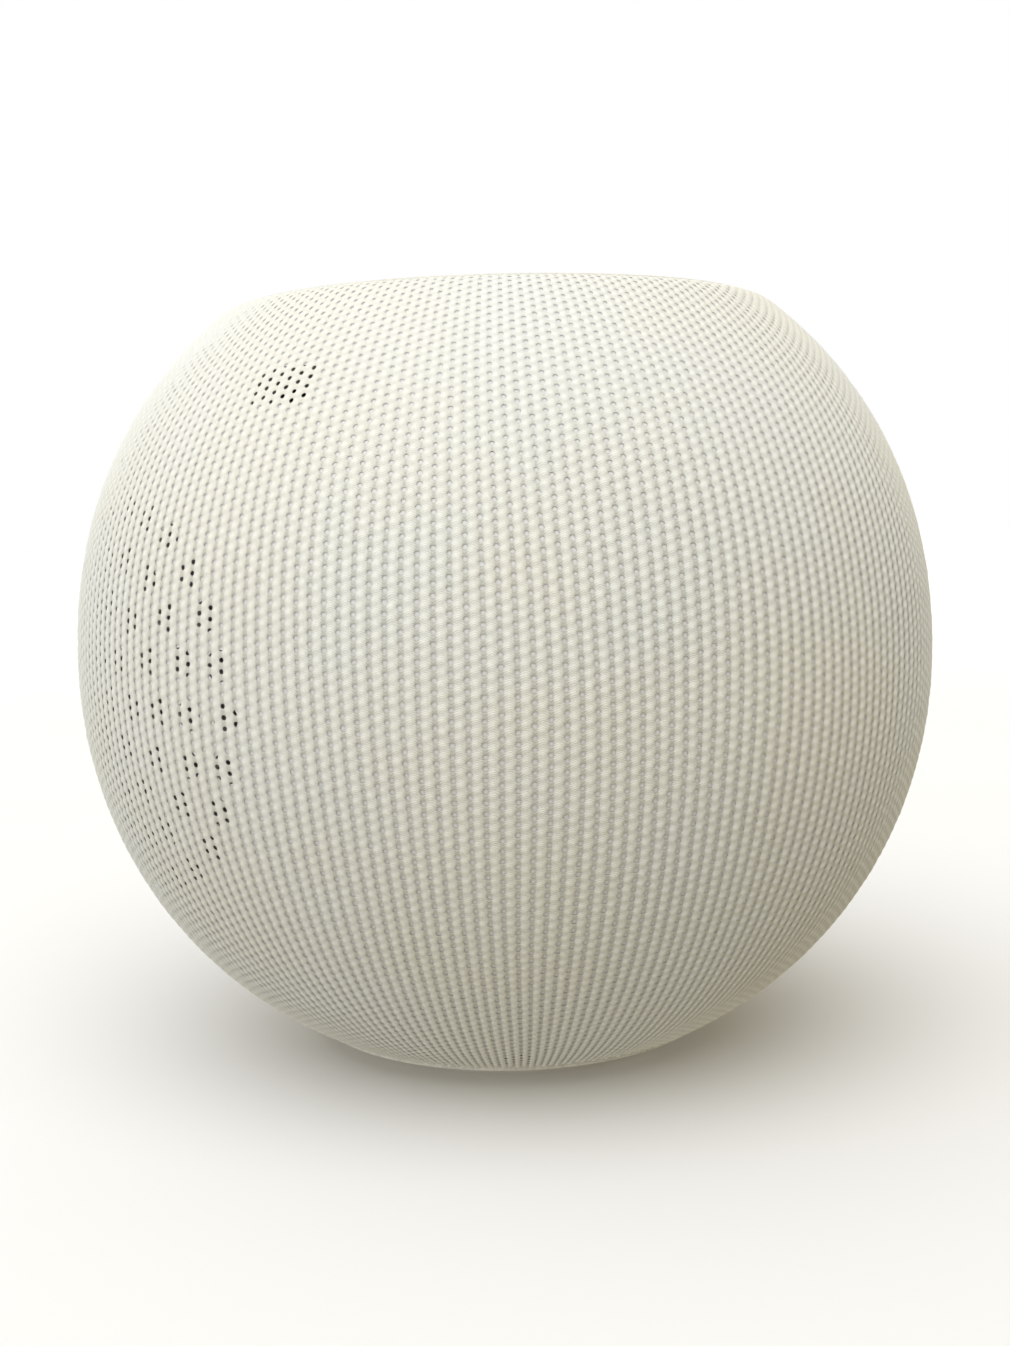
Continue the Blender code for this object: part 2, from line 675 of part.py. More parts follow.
def make_enclosure(looks, parts, cutters):
    low, high = FLANGE_Z
    solid = [
        (0.0, BARREL_TOP_Z),
        (BARREL_RADIUS, BARREL_TOP_Z),
        (BARREL_RADIUS, high + 1.0),
        (BARREL_RADIUS + 0.4, high),
        (BOX_FLANGE_RADIUS, high),
        (BOX_FLANGE_RADIUS, low),
        (0.0, low),
    ]
    body = turned("enclosure_body", solid, looks["box"], parts, BOX_STEPS, closed=False)
    left_end = (-RADIATOR_SEAT, 0, RADIATOR_Z)
    right_end = (RADIATOR_SEAT, 0, RADIATOR_Z)
    boss = rod("radiator_boss", RADIATOR_OUTER + 0.2, left_end, right_end, cutters, BOX_STEPS)
    combine(body, boss, "UNION")
    hollow = [
        (0.0, 70.0),
        (BARREL_INNER, 70.0),
        (BARREL_INNER, high + 1.5),
        (BARREL_INNER - 1.5, high),
        (DRIVER_OPENING, high),
        (DRIVER_OPENING, 5.0),
        (0.0, 5.0),
    ]
    combine(body, turned("barrel_hollow", hollow, None, cutters, BOX_STEPS, closed=False))
    bore = rod("radiator_bore", RADIATOR_BORE, (-50, 0, RADIATOR_Z), (50, 0, RADIATOR_Z), cutters, BOX_STEPS)
    combine(body, bore)
    box_holes = []
    for i, place in enumerate(quarter_places(BOX_SCREW_RADIUS, 0)):
        bottom = place + Vector((0, 0, 10))
        top = place + Vector((0, 0, 25))
        box_holes.append(rod(f"box_hole_{i}", 1.2, bottom, top, cutters))
    combine(body, joined("box_holes", box_holes, cutters))
    driver_holes = []
    for i, place in enumerate(quarter_places(DRIVER_SCREW_RADIUS, 0)):
        bottom = place + Vector((0, 0, 10))
        top = place + Vector((0, 0, high - 0.6))
        driver_holes.append(rod(f"driver_hole_{i}", 1.2, bottom, top, cutters))
    combine(body, joined("driver_holes", driver_holes, cutters))

    gasket_inner = BARREL_INNER + GAP
    gasket_outer = BARREL_RADIUS - GAP
    gasket_low, gasket_high = GASKET_Z
    gasket = [
        (gasket_inner, gasket_high),
        (gasket_outer, gasket_high),
        (gasket_outer, gasket_low),
        (gasket_inner, gasket_low),
    ]
    turned("lid_gasket", gasket, looks["rubber"], parts, BOX_STEPS)
    lid_low, lid_high = LID_Z
    lid = [
        (0.0, lid_high),
        (BARREL_RADIUS, lid_high),
        (BARREL_RADIUS, lid_low),
        (BARREL_INNER - 0.4, lid_low),
        (BARREL_INNER - 0.4, LID_SPIGOT_Z),
        (BARREL_INNER - 2.2, LID_SPIGOT_Z),
        (BARREL_INNER - 2.2, lid_low),
        (0.0, lid_low),
    ]
    cover = turned("enclosure_lid", lid, looks["box"], parts, BOX_STEPS, closed=False)
    lead_holes = []
    for i, x in enumerate((-SPEAKER_LEAD_X, SPEAKER_LEAD_X)):
        low_end = (x, SPEAKER_LEAD_Y, lid_low - 5)
        high_end = (x, SPEAKER_LEAD_Y, lid_high + 5)
        lead_holes.append(rod(f"lead_hole_{i}", 1.0, low_end, high_end, cutters))
    combine(cover, joined("lead_holes", lead_holes, cutters))

    blank = screw_blank("enclosure_screw", 1.8, 1.2, 0.9, 5.5, False, looks["steel"], parts, cutters)
    copies("enclosure_screw", blank, quarter_places(BOX_SCREW_RADIUS, high + GAP), parts)


# The driver, which fires down


def make_driver(looks, parts, cutters, moving):
    frame = [
        (9.2, 24.4),
        (16.4, 24.4),
        (16.6, 21.4),
        (19.3, 21.2),
        (20.1, 17.5),
        (20.9, 15.4),
        (20.9, 14.6),
        (22.6, 14.6),
        (22.6, 13.7),
        (27.0, 13.7),
        (27.0, 12.2),
        (22.3, 12.2),
        (22.3, 13.6),
        (19.9, 13.6),
        (19.6, 14.0),
        (18.9, 17.5),
        (18.2, 20.2),
        (15.4, 20.2),
        (15.2, 23.4),
        (9.2, 23.4),
    ]
    basket = turned("driver_frame", frame, looks["basket"], parts, MEDIUM_STEPS)
    windows = []
    for i in range(4):
        place = radial(90 * i, 20, 17.9)
        turn = (0, 0, math.radians(90 * i))
        windows.append(block(f"basket_window_{i}", BASKET_WINDOW_SIZE, place, None, cutters, 0.0, turn))
    combine(basket, joined("basket_windows", windows, cutters))
    holes = []
    for i, place in enumerate(quarter_places(DRIVER_SCREW_RADIUS, 0)):
        holes.append(rod(f"frame_hole_{i}", 1.2, place, place + Vector((0, 0, 20)), cutters))
    frame_holes = joined("frame_holes", holes, cutters)
    combine(basket, frame_holes)
    seal = [(22.9, 14.6), (27.0, 14.6), (27.0, 14.0), (22.9, 14.0)]
    gasket = turned("driver_gasket", seal, looks["rubber"], parts)
    combine(gasket, frame_holes)
    blank = screw_blank("driver_screw", 1.7, 1.1, 0.9, 4.8, True, looks["steel"], parts, cutters)
    copies("driver_screw", blank, quarter_places(DRIVER_SCREW_RADIUS, 11.9), parts)

    low, high = GAP_PLATE_Z
    plate_inner = COIL_OUTER + 0.4
    plate = [(plate_inner, high), (MOTOR_RADIUS, high), (MOTOR_RADIUS, low), (plate_inner, low)]
    turned("driver_top_plate", plate, looks["zinc"], parts)
    low, high = MAGNET_Z
    magnet = [(9.2, high), (MOTOR_RADIUS - 0.4, high), (MOTOR_RADIUS - 0.4, low), (9.2, low)]
    turned("driver_magnet", magnet, looks["ferrite"], parts)
    low, high = YOKE_Z
    yoke = [
        (0.0, high),
        (MOTOR_RADIUS - 0.5, high),
        (MOTOR_RADIUS, high - 0.5),
        (MOTOR_RADIUS, low),
        (POLE_RADIUS, low),
        (POLE_RADIUS, GAP_PLATE_Z[0]),
        (0.0, GAP_PLATE_Z[0]),
    ]
    turned("driver_yoke", yoke, looks["zinc"], parts, closed=False)

    lip_z = SURROUND_LIP_Z
    lip_top = lip_z + SURROUND_LIP
    roll_r, roll_size = SURROUND_ROLL
    outer_roll = half_roll(roll_r, lip_z, roll_size, 4, -1)
    inner_roll = half_roll(roll_r, lip_top, roll_size - 0.5, 4, -1)
    surround = [(22.0, lip_top), (22.0, lip_z), *outer_roll, (16.2, lip_z), (16.2, lip_top), *inner_roll[::-1]]
    turned("surround", surround, looks["rubber"], parts)

    ridges = [(17.9, 0.0), (15.6, 0.0), (14.2, -0.5), (12.4, 0.5), (10.6, -0.5), (9.0, 0.5), (7.6, 0.0)]
    below = [(r, SPIDER_Z + dz - 0.2) for r, dz in ridges]
    above = [(r, SPIDER_Z + dz + 0.2) for r, dz in ridges]
    turned("spider", below + above[::-1], looks["spider"], parts)

    front = [(17.4, 13.6), (14.2, 14.5), (10.8, 15.9), (7.5, 17.8)]
    back = [(r, z + 0.5) for r, z in front]
    cone = turned("cone", front + back[::-1], looks["cone"], parts)
    dome = [(8.8, 15.9), (7.4, 15.3), (4.2, 14.5), (0.0, 14.2)]
    dome_back = [(r, z + 0.5) for r, z in dome]
    cap = turned("dust_cap", dome_back[::-1] + dome, looks["cone"], parts, closed=False)
    former = COIL_INNER + 0.4
    coil = [
        (COIL_INNER, 30.5),
        (former, 30.5),
        (former, 28.8),
        (COIL_OUTER, 28.8),
        (COIL_OUTER, 24.2),
        (former, 24.2),
        (former, 17.0),
        (COIL_INNER, 17.0),
    ]
    voice_coil = turned("voice_coil", coil, looks["copper"], parts)
    for piece in (cone, cap, voice_coil):
        piece.parent = moving

    y = SPEAKER_LEAD_Y
    for i, x in enumerate((-SPEAKER_LEAD_X, SPEAKER_LEAD_X)):
        route = [(x, y, 66.4), (x, y, 58.0), (x * 1.3, y + 0.8, 44.0), (x, y + 0.1, 30.0), (x, y - 0.1, 21.8)]
        wire(f"speaker_lead_{i + 1}", smooth_route(route, 3), SPEAKER_LEAD_RADIUS, looks["wires"][i], parts)


# The passive radiators


def make_radiator(side, looks, parts, moving):
    """Four pieces turned about the radiator's own axis, which points out of the ball."""
    name = "right" if side > 0 else "left"
    seat = RADIATOR_SEAT + GAP
    face = seat + 2.0
    frame = [
        (RADIATOR_BORE, face),
        (RADIATOR_OUTER - 0.4, face),
        (RADIATOR_OUTER, face - 0.4),
        (RADIATOR_OUTER, seat),
        (RADIATOR_BORE, seat),
    ]
    lip = face + GAP
    lip_top = lip + 0.6
    roll_r, roll_size = RADIATOR_ROLL
    outer_roll = half_roll(roll_r, lip_top, roll_size, 4, 1)
    inner_roll = half_roll(roll_r, lip, roll_size - 0.5, 4, 1)
    surround = [(9.7, lip_top), *outer_roll[::-1], (15.6, lip_top), (15.6, lip), *inner_roll, (9.7, lip)]
    diaphragm_back = face - DIAPHRAGM_DEPTH
    diaphragm = [
        (0.0, face + 0.2),
        (9.0, face),
        (DIAPHRAGM_RADIUS, face),
        (DIAPHRAGM_RADIUS, diaphragm_back),
        (0.0, diaphragm_back),
    ]
    weight_top = diaphragm_back - GAP
    weight_back = weight_top - WEIGHT_DEPTH
    weight = [
        (0.0, weight_top),
        (WEIGHT_RADIUS, weight_top),
        (WEIGHT_RADIUS, weight_back + 0.4),
        (WEIGHT_RADIUS - 0.4, weight_back),
        (0.0, weight_back),
    ]
    pieces = [
        turned(f"{name}_radiator_frame", frame, looks["basket"], parts),
        turned(f"{name}_radiator_surround", surround, looks["rubber"], parts),
        turned(f"{name}_radiator_diaphragm", diaphragm, looks["diaphragm"], parts, closed=False),
        turned(f"{name}_radiator_weight", weight, looks["zinc"], parts, SMALL_STEPS, closed=False),
    ]
    for piece in pieces:
        piece.rotation_euler = (0, side * math.pi / 2, 0)
        piece.location = (0, 0, RADIATOR_Z * MM)
    for piece in pieces[2:]:
        piece.parent = moving
        piece.location = (0, 0, 0)


# The base


def make_base(looks, parts, cutters):
    waveguide = [
        (0.0, 11.0),
        (4.0, 10.7),
        (8.0, 9.7),
        (12.0, 8.3),
        (16.0, 7.3),
        (22.0, 6.8),
        (22.0, BASE_TOP_Z + GAP),
        (0.0, BASE_TOP_Z + GAP),
    ]
    horn = turned("waveguide", waveguide, looks["box"], parts, BOX_STEPS, closed=False)
    plate = [
        (0.0, BASE_TOP_Z),
        (BASE_RADIUS, BASE_TOP_Z),
        (BASE_RADIUS, BOWL_BOTTOM_Z - GAP),
        (BASE_FLANGE, BOWL_BOTTOM_Z - GAP),
        (BASE_FLANGE, BASE_BOTTOM_Z + 0.2),
        (BASE_FLANGE - 0.2, BASE_BOTTOM_Z),
        (FOOT_OUTER + GAP, BASE_BOTTOM_Z),
        (FOOT_OUTER + GAP, FOOT_HEIGHT + GAP),
        (FOOT_INNER - GAP, FOOT_HEIGHT + GAP),
        (FOOT_INNER - GAP, BASE_BOTTOM_Z),
        (0.0, BASE_BOTTOM_Z),
    ]
    base_plate = turned("base_plate", plate, looks["base"], parts, BIG_STEPS, closed=False)
    shafts = []
    sinks = []
    for i, place in enumerate(quarter_places(BASE_SCREW_RADIUS, 0)):
        shafts.append(rod(f"base_shaft_{i}", 1.3, place, place + Vector((0, 0, 8.5)), cutters))
        sinks.append(rod(f"base_sink_{i}", 2.5, place, place + Vector((0, 0, 3.1)), cutters, TINY_STEPS + 2))
    base_shafts = joined("base_shafts", shafts, cutters)
    combine(horn, base_shafts)
    combine(base_plate, base_shafts)
    combine(base_plate, joined("base_sinks", sinks, cutters))
    blank = screw_blank("base_screw", 2.0, 1.2, 1.0, 5.3, True, looks["steel"], parts, cutters)
    copies("base_screw", blank, quarter_places(BASE_SCREW_RADIUS, 2.8), parts)
    foot = [
        (FOOT_INNER, FOOT_HEIGHT),
        (FOOT_OUTER, FOOT_HEIGHT),
        (FOOT_OUTER, 0.4),
        (FOOT_OUTER - 0.4, 0.0),
        (FOOT_INNER + 0.4, 0.0),
        (FOOT_INNER, 0.4),
    ]
    turned("foot_pad", foot, looks["foot"], parts, BIG_STEPS)


def make_looks():
    circuit = material("circuit_green", (0.03, 0.16, 0.08), 0.5)
    return {
        "knit": material("cream_knit", (0.78, 0.75, 0.66), 0.85),
        "shell": material("white_plastic", (0.80, 0.79, 0.80), 0.45),
        "panel": material("white_touch_glass", (0.82, 0.82, 0.80), 0.12),
        "trim": material("pale_trim_plastic", (0.72, 0.71, 0.68), 0.35),
        "film": material("clear_sensor_film", (0.55, 0.56, 0.56), 0.25),
        "diffuser": material("milky_diffuser", (0.86, 0.86, 0.86), 0.5),
        "circuit": circuit,
        "flex": material("amber_flex", (0.45, 0.20, 0.04), 0.4),
        "aluminium": material("aluminium", (0.75, 0.76, 0.77), 0.35, 1.0),
        "tin": material("tinned_steel", (0.66, 0.67, 0.68), 0.3, 1.0),
        "ferrite": material("ferrite", (0.06, 0.06, 0.065), 0.6),
        "can": material("capacitor_sleeve", (0.10, 0.11, 0.14), 0.35),
        "steel": material("screw_steel", (0.55, 0.56, 0.57), 0.3, 1.0),
        "box": material("grey_plastic", (0.10, 0.10, 0.105), 0.55),
        "rubber": material("black_rubber", (0.03, 0.03, 0.03), 0.7),
        "basket": material("basket_plastic", (0.05, 0.05, 0.055), 0.5),
        "zinc": material("zinc_steel", (0.60, 0.61, 0.62), 0.35, 1.0),
        "spider": material("spider_cloth", (0.50, 0.36, 0.14), 0.9),
        "cone": material("paper_cone", (0.07, 0.07, 0.075), 0.8),
        "copper": material("copper_winding", (0.72, 0.33, 0.16), 0.35, 1.0),
        "diaphragm": material("radiator_plastic", (0.09, 0.09, 0.095), 0.45),
        "base": material("base_plastic", (0.70, 0.69, 0.67), 0.5),
        "foot": material("foot_silicone", (0.62, 0.61, 0.58), 0.7),
        "black_wire": material("black_wire", (0.02, 0.02, 0.02), 0.5),
        "wires": [
            material("red_wire", (0.45, 0.03, 0.02), 0.5),
            material("grey_wire", (0.06, 0.06, 0.06), 0.5),
        ],
    }


def make_empty(name, collection):
    empty = bpy.data.objects.new(name, None)
    collection.objects.link(empty)
    empty.location = (0, 0, RADIATOR_Z * MM)
    return empty


def main():
    clear_scene()
    parts = make_collection(COLLECTION_NAME)
    cutters = make_collection("cutters", hidden=True)
    looks = make_looks()
    make_fabric_cover(looks["knit"], parts, cutters)
    make_upper_shell(looks["shell"], parts, cutters)
    make_lower_shell(looks["shell"], parts, cutters)
    make_top(looks, parts, cutters)
    make_electronics(looks, parts, cutters)
    make_inlet(looks, parts, cutters)
    make_enclosure(looks, parts, cutters)
    cone_axis = make_empty("cone_travel", parts)
    cone_axis.location = (0, 0, 0)
    make_driver(looks, parts, cutters, cone_axis)
    for side in (-1, 1):
        name = "right" if side > 0 else "left"
        make_radiator(side, looks, parts, make_empty(f"{name}_radiator_travel", parts))
    make_base(looks, parts, cutters)


main()
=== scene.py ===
"""Looks for the ball-shaped table speaker.

It has a stitched cover over smooth perforated shells, a finished driver and radiators inside, and procedural
materials. Lengths are in millimetres here, and turn into metres when a mesh is made. The front is -Y.
"""

import json
import math

import bmesh
import bpy
import numpy as np
from mathutils import Matrix, Vector


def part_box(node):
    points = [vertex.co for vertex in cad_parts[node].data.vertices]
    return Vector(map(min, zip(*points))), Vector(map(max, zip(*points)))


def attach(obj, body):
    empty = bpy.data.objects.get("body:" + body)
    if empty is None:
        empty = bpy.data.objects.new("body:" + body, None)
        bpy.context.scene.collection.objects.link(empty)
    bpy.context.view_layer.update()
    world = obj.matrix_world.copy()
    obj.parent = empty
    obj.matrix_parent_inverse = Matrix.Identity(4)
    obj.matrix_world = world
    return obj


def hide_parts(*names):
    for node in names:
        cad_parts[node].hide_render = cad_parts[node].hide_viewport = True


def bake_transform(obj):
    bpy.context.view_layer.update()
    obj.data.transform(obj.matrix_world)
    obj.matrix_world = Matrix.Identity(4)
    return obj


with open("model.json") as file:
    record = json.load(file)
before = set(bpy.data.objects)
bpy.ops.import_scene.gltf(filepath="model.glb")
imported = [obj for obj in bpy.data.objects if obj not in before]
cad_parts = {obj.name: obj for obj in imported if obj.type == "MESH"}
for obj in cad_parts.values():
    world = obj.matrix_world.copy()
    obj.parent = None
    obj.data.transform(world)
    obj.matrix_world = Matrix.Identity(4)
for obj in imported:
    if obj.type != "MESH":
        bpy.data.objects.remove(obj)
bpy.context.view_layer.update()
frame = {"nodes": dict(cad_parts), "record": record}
MM = 0.001
HOUSING = "housing"


def reach(node):
    """A node's lowest and highest corners, in millimetres."""
    low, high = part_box(node)
    return low / MM, high / MM


# The ball, as in the CAD: a superellipse whose nested surfaces are drawn in by an inset.
COVER_HIGH = reach("fabric_cover")[1]
BALL_RADIUS = COVER_HIGH.x
BALL_CENTRE_Z = 44.9
POWER_ABOVE = 2.1
POWER_BELOW = 2.05
KNIT_TOP_Z = COVER_HIGH.z
SHOULDER_RADIUS = 3.0
GAP = 0.3

# The knit: columns of stitches (wales) run from the top edge to the base, with an eye between two stitches.
# Heights are measured from the cover's outer surface, and eyes in shares of a wale and of a row.
WALES = 212
ROW_PITCH = 1.085
KNIT_TOP_RADIUS = 28.95
KNIT_BOTTOM_Z = 1.75
EYE_HALF_WIDTH = 0.30
EYE_HALF_HEIGHT = 0.35
STITCH_TOP = 0.06
STITCH_VALLEY = -0.20
BRIDGE_HEIGHT = -0.36
EYE_SIDE_HEIGHT = -0.33
WALE_JITTER = 0.022
ROW_JITTER = 0.028
HEIGHT_JITTER = 0.035
FULL_STITCH = 1.25
LEAST_RELIEF = 0.55
# CLOSING_Z and CLOSING_SHARE fade the painted groove shade out towards the top edge.
CLOSING_Z = (56.0, 84.0)
CLOSING_SHARE = 0.65

# The shells under it.
SHELL_INSET = 0.40
SHELL_WALL = 3.1
SHELL_INSIDE = SHELL_INSET + SHELL_WALL
FLANGE_RADIUS = 23.0
SEAM_Z = 66.4
SEAM_GAP = 0.06
LAP = 1.9
HOLE_RADIUS = 1.55
HOLE_RING_STEP = 5.75
HOLE_RINGS = 4
HOLE_AXIS_DIP = 2.6
HOLE_FIELD_TURN = 1.5
WINDOW_ANGLES = (-64.5, 64.5, -115.5, 115.5)
WINDOW_LATITUDE = 35.5
WINDOW_SIZE = (7.4, 4.6)
SLOT_COUNT = 16
SLOT_RADIUS = 26.3
SLOT_SIZE = (4.2, 3.0)

INLET_LOW, INLET_HIGH = reach("inlet_bezel")
INLET_RADIUS = INLET_HIGH.x
INLET_Z = (INLET_LOW.z + INLET_HIGH.z) / 2
INLET_EDGE = 0.75
INLET_POCKET = 6.6
INLET_FLOOR_Y = 39.6
SOCKET_SLOT = (9.8, 4.0, 12.0)

# The base.
FOOT_INNER = 13.0
BASE_SCREW_RADIUS = 8.0
QUARTERS = (45, 135, 225, 315)

ROUND_STEPS = 160
FINE_STEPS = 96
HEM_STEPS = 416
HEM_SIDES = 14
INLET_HEM_SIDES = 12
SOFT_STEPS = 14
SHARP_ANGLE = 40

# Inside: the driver, its soft rings and the radiators. A ring's radii run from its rim inwards.
SURROUND_RADII = (20.8, 19.2, 17.6, 16.2)
SPIDER_FOLDS = (14.2, 12.4, 10.6, 9.0)
RADIATOR_RADII = (13.5, 12.2, 10.9, 9.7)
SURROUND_WALL = 0.4
SPIDER_WALL = 0.25
PAPER_WALL = 0.5
CONE_RADII = (7.5, 17.4)
CONE_RIM_Z = 13.6
CAP_RADIUS = 8.8
CAP_CENTRE_Z = 14.2
CAPACITOR_PLACE = (16.0, 13.5)
BASKET_WINDOW = (12.0, 3.6, 6.0)
BASKET_WINDOW_Z = 17.9
DRIVER_SCREW_RADIUS = 24.8

# The studio. The lens gives the photograph's field of view.
CAMERA_AZIMUTH = -34.0
CAMERA_ELEVATION = 5.0
CAMERA_DISTANCE = 4 * BALL_RADIUS
CAMERA_TILT = -0.92
CAMERA_ROLL = -1.5
SENSOR_WIDTH = 36.0
LENS = 44.425
FLOOR_RADIUS = 2500.0
SUN_STRENGTH = 1.46
SUN_ANGLE = 60
ROOM_STRENGTH = 1.12
ROOM_SHADES = ((0.165, 0.12, 0.02), (0.525, 0.505, 0.445), (0.938, 0.948, 0.95))
BACK_FILL = 0.35


# Geometry


def ball_radius(z, inset=0.0):
    size = BALL_RADIUS - inset
    height = z - BALL_CENTRE_Z
    power = POWER_ABOVE if height > 0 else POWER_BELOW
    left = 1.0 - min(1.0, abs(height) / size) ** power
    return size * left ** (1.0 / power)


def ball_point(latitude, inset=0.0):
    size = BALL_RADIUS - inset
    angle = math.radians(latitude)
    power = POWER_ABOVE if latitude > 0 else POWER_BELOW
    c = abs(math.cos(angle)) ** power
    s = abs(math.sin(angle)) ** power
    far = size / (c + s) ** (1.0 / power)
    return (far * math.cos(angle), BALL_CENTRE_Z + far * math.sin(angle))


def ball_curve(inset, z_high, z_low, step):
    """Points down the drawn-in surface from z_high to z_low."""
    points = [(ball_radius(z_high, inset), z_high)]
    latitude = 88.0
    while latitude > -89:
        point = ball_point(latitude, inset)
        if z_low + 0.25 < point[1] < z_high - 0.25:
            points.append(point)
        latitude -= step
    points.append((ball_radius(z_low, inset), z_low))
    return points


def shoulder(inset, top_z, radius, count):
    """The rounded corner between the flat top and the ball's side, from the top outwards."""
    centre_z = top_z - radius
    centre_r = ball_radius(centre_z, inset + radius)
    power = POWER_ABOVE - 1.0
    lowest = math.atan2((centre_z - BALL_CENTRE_Z) ** power, centre_r**power)
    points = []
    for i in range(count + 1):
        angle = math.pi / 2 + (lowest - math.pi / 2) * i / count
        points.append((centre_r + radius * math.cos(angle), centre_z + radius * math.sin(angle)))
    return points


def radial(angle, radius, z=0.0):
    """A point at an angle in degrees from the front, turning towards +X."""
    way = math.radians(angle)
    return Vector((radius * math.sin(way), -radius * math.cos(way), z))


def facing(angle, latitude):
    """A rotation whose local Z points out of the ball, with local X level."""
    out = radial(angle, math.cos(math.radians(latitude)), math.sin(math.radians(latitude)))
    level = Vector((0, 0, 1)).cross(out).normalized()
    return Matrix((level, out.cross(level), out)).transposed()


def add_object(name, data):
    obj = bpy.data.objects.new(name, data)
    bpy.context.scene.collection.objects.link(obj)
    return obj


def add_mesh(name, points, faces, look, smooth=SHARP_ANGLE):
    """An object from points in millimetres."""
    mesh = bpy.data.meshes.new(name)
    mesh.from_pydata([(x * MM, y * MM, z * MM) for x, y, z in points], [], faces)
    mesh.validate()
    mesh.shade_smooth()
    if smooth:
        mesh.set_sharp_from_angle(angle=math.radians(smooth))
    if look:
        mesh.materials.append(look)
    return add_object(name, mesh)


def lathe(name, profile, look, steps=ROUND_STEPS, closed=True, turn=None, smooth=SHARP_ANGLE):
    """A profile of (radius, height) turned about Z, running down its outer side. turn places it."""
    points = []
    rings = []
    for r, z in profile:
        if r < 1e-6:
            rings.append([len(points)] * steps)
            points.append(Vector((0, 0, z)))
            continue
        rings.append(list(range(len(points), len(points) + steps)))
        for i in range(steps):
            angle = 2 * math.pi * i / steps
            points.append(Vector((r * math.cos(angle), r * math.sin(angle), z)))
    faces = []
    count = len(profile)
    for k in range(count if closed else count - 1):
        a = rings[k]
        b = rings[(k + 1) % count]
        for i in range(steps):
            j = (i + 1) % steps
            face = [a[i], b[i], b[j], a[j]]
            face = [v for n, v in enumerate(face) if v != face[n - 1]]
            if len(face) > 2:
                faces.append(face)
    if turn:
        points = [turn @ p for p in points]
    return add_mesh(name, points, faces, look, smooth)


def rounded(profile, radius, count=3):
    """A closed profile with its corners rounded, each by its own radius or by the one given."""
    found = []
    total = len(profile)
    for i, point in enumerate(profile):
        here = Vector(point[:2])
        before = Vector(profile[i - 1][:2]) - here
        after = Vector(profile[(i + 1) % total][:2]) - here
        size = point[2] if len(point) > 2 else radius
        size = min(size, before.length * 0.45, after.length * 0.45)
        if size < 1e-4:
            found.append((here.x, here.y))
            continue
        start = here + before.normalized() * size
        end = here + after.normalized() * size
        for k in range(count + 1):
            t = k / count
            spot = start * (1 - t) ** 2 + here * (2 * t * (1 - t)) + end * t**2
            found.append((spot.x, spot.y))
    return found


def rod_mesh(bm, radius, start, end, sides):
    way = end - start
    place = Matrix.Translation((start + end) / 2 * MM) @ way.to_track_quat("Z", "Y").to_matrix().to_4x4()
    size = radius * MM
    bmesh.ops.create_cone(
        bm, cap_ends=True, segments=sides, radius1=size, radius2=size, depth=way.length * MM, matrix=place
    )


def cutter_from(bm, name):
    mesh = bpy.data.meshes.new(name)
    bm.to_mesh(mesh)
    bm.free()
    return add_object(name, mesh)


def cut(obj, cutter):
    """Cuts at once, with any modifier that obj already has, and removes the cutter."""
    boolean = obj.modifiers.new("cut", "BOOLEAN")
    boolean.operation = "DIFFERENCE"
    boolean.object = cutter
    bpy.context.view_layer.update()
    graph = bpy.context.evaluated_depsgraph_get()
    mesh = bpy.data.meshes.new_from_object(obj.evaluated_get(graph))
    obj.modifiers.clear()
    obj.data = mesh
    bpy.data.objects.remove(cutter, do_unlink=True)
    mesh.shade_smooth()
    mesh.set_sharp_from_angle(angle=math.radians(SHARP_ANGLE))


# The knitted cover


class KnitSurface:
    """The cover's outer surface by arc length down from its top edge, with its outward normal."""

    def __init__(self):
        corner = shoulder(0.0, KNIT_TOP_Z, SHOULDER_RADIUS, 40)
        line = [(KNIT_TOP_RADIUS, KNIT_TOP_Z)] + [p for p in corner if p[0] > KNIT_TOP_RADIUS + 0.05]
        line += ball_curve(0.0, corner[-1][1] - 0.02, KNIT_BOTTOM_Z, 0.4)[1:]
        line = np.array(line)
        steps = np.linalg.norm(np.diff(line, axis=0), axis=1)
        self.s = np.concatenate([[0.0], np.cumsum(steps)])
        self.line = line
        self.length = self.s[-1]
        way = np.gradient(line, self.s, axis=0)
        way /= np.linalg.norm(way, axis=1)[:, None]
        self.normal = np.stack([-way[:, 1], way[:, 0]], axis=1)

    def section(self, s):
        """Radii and heights of the line at arc lengths s."""
        return np.interp(s, self.s, self.line[:, 0]), np.interp(s, self.s, self.line[:, 1])

    def at(self, angle, s, height):
        """Points for arrays of angle from the front, arc length and height above the surface."""
        r, z = self.section(s)
        r = r + np.interp(s, self.s, self.normal[:, 0]) * height
        z = z + np.interp(s, self.s, self.normal[:, 1]) * height
        return np.stack([r * np.sin(angle), -r * np.cos(angle), z], axis=-1)


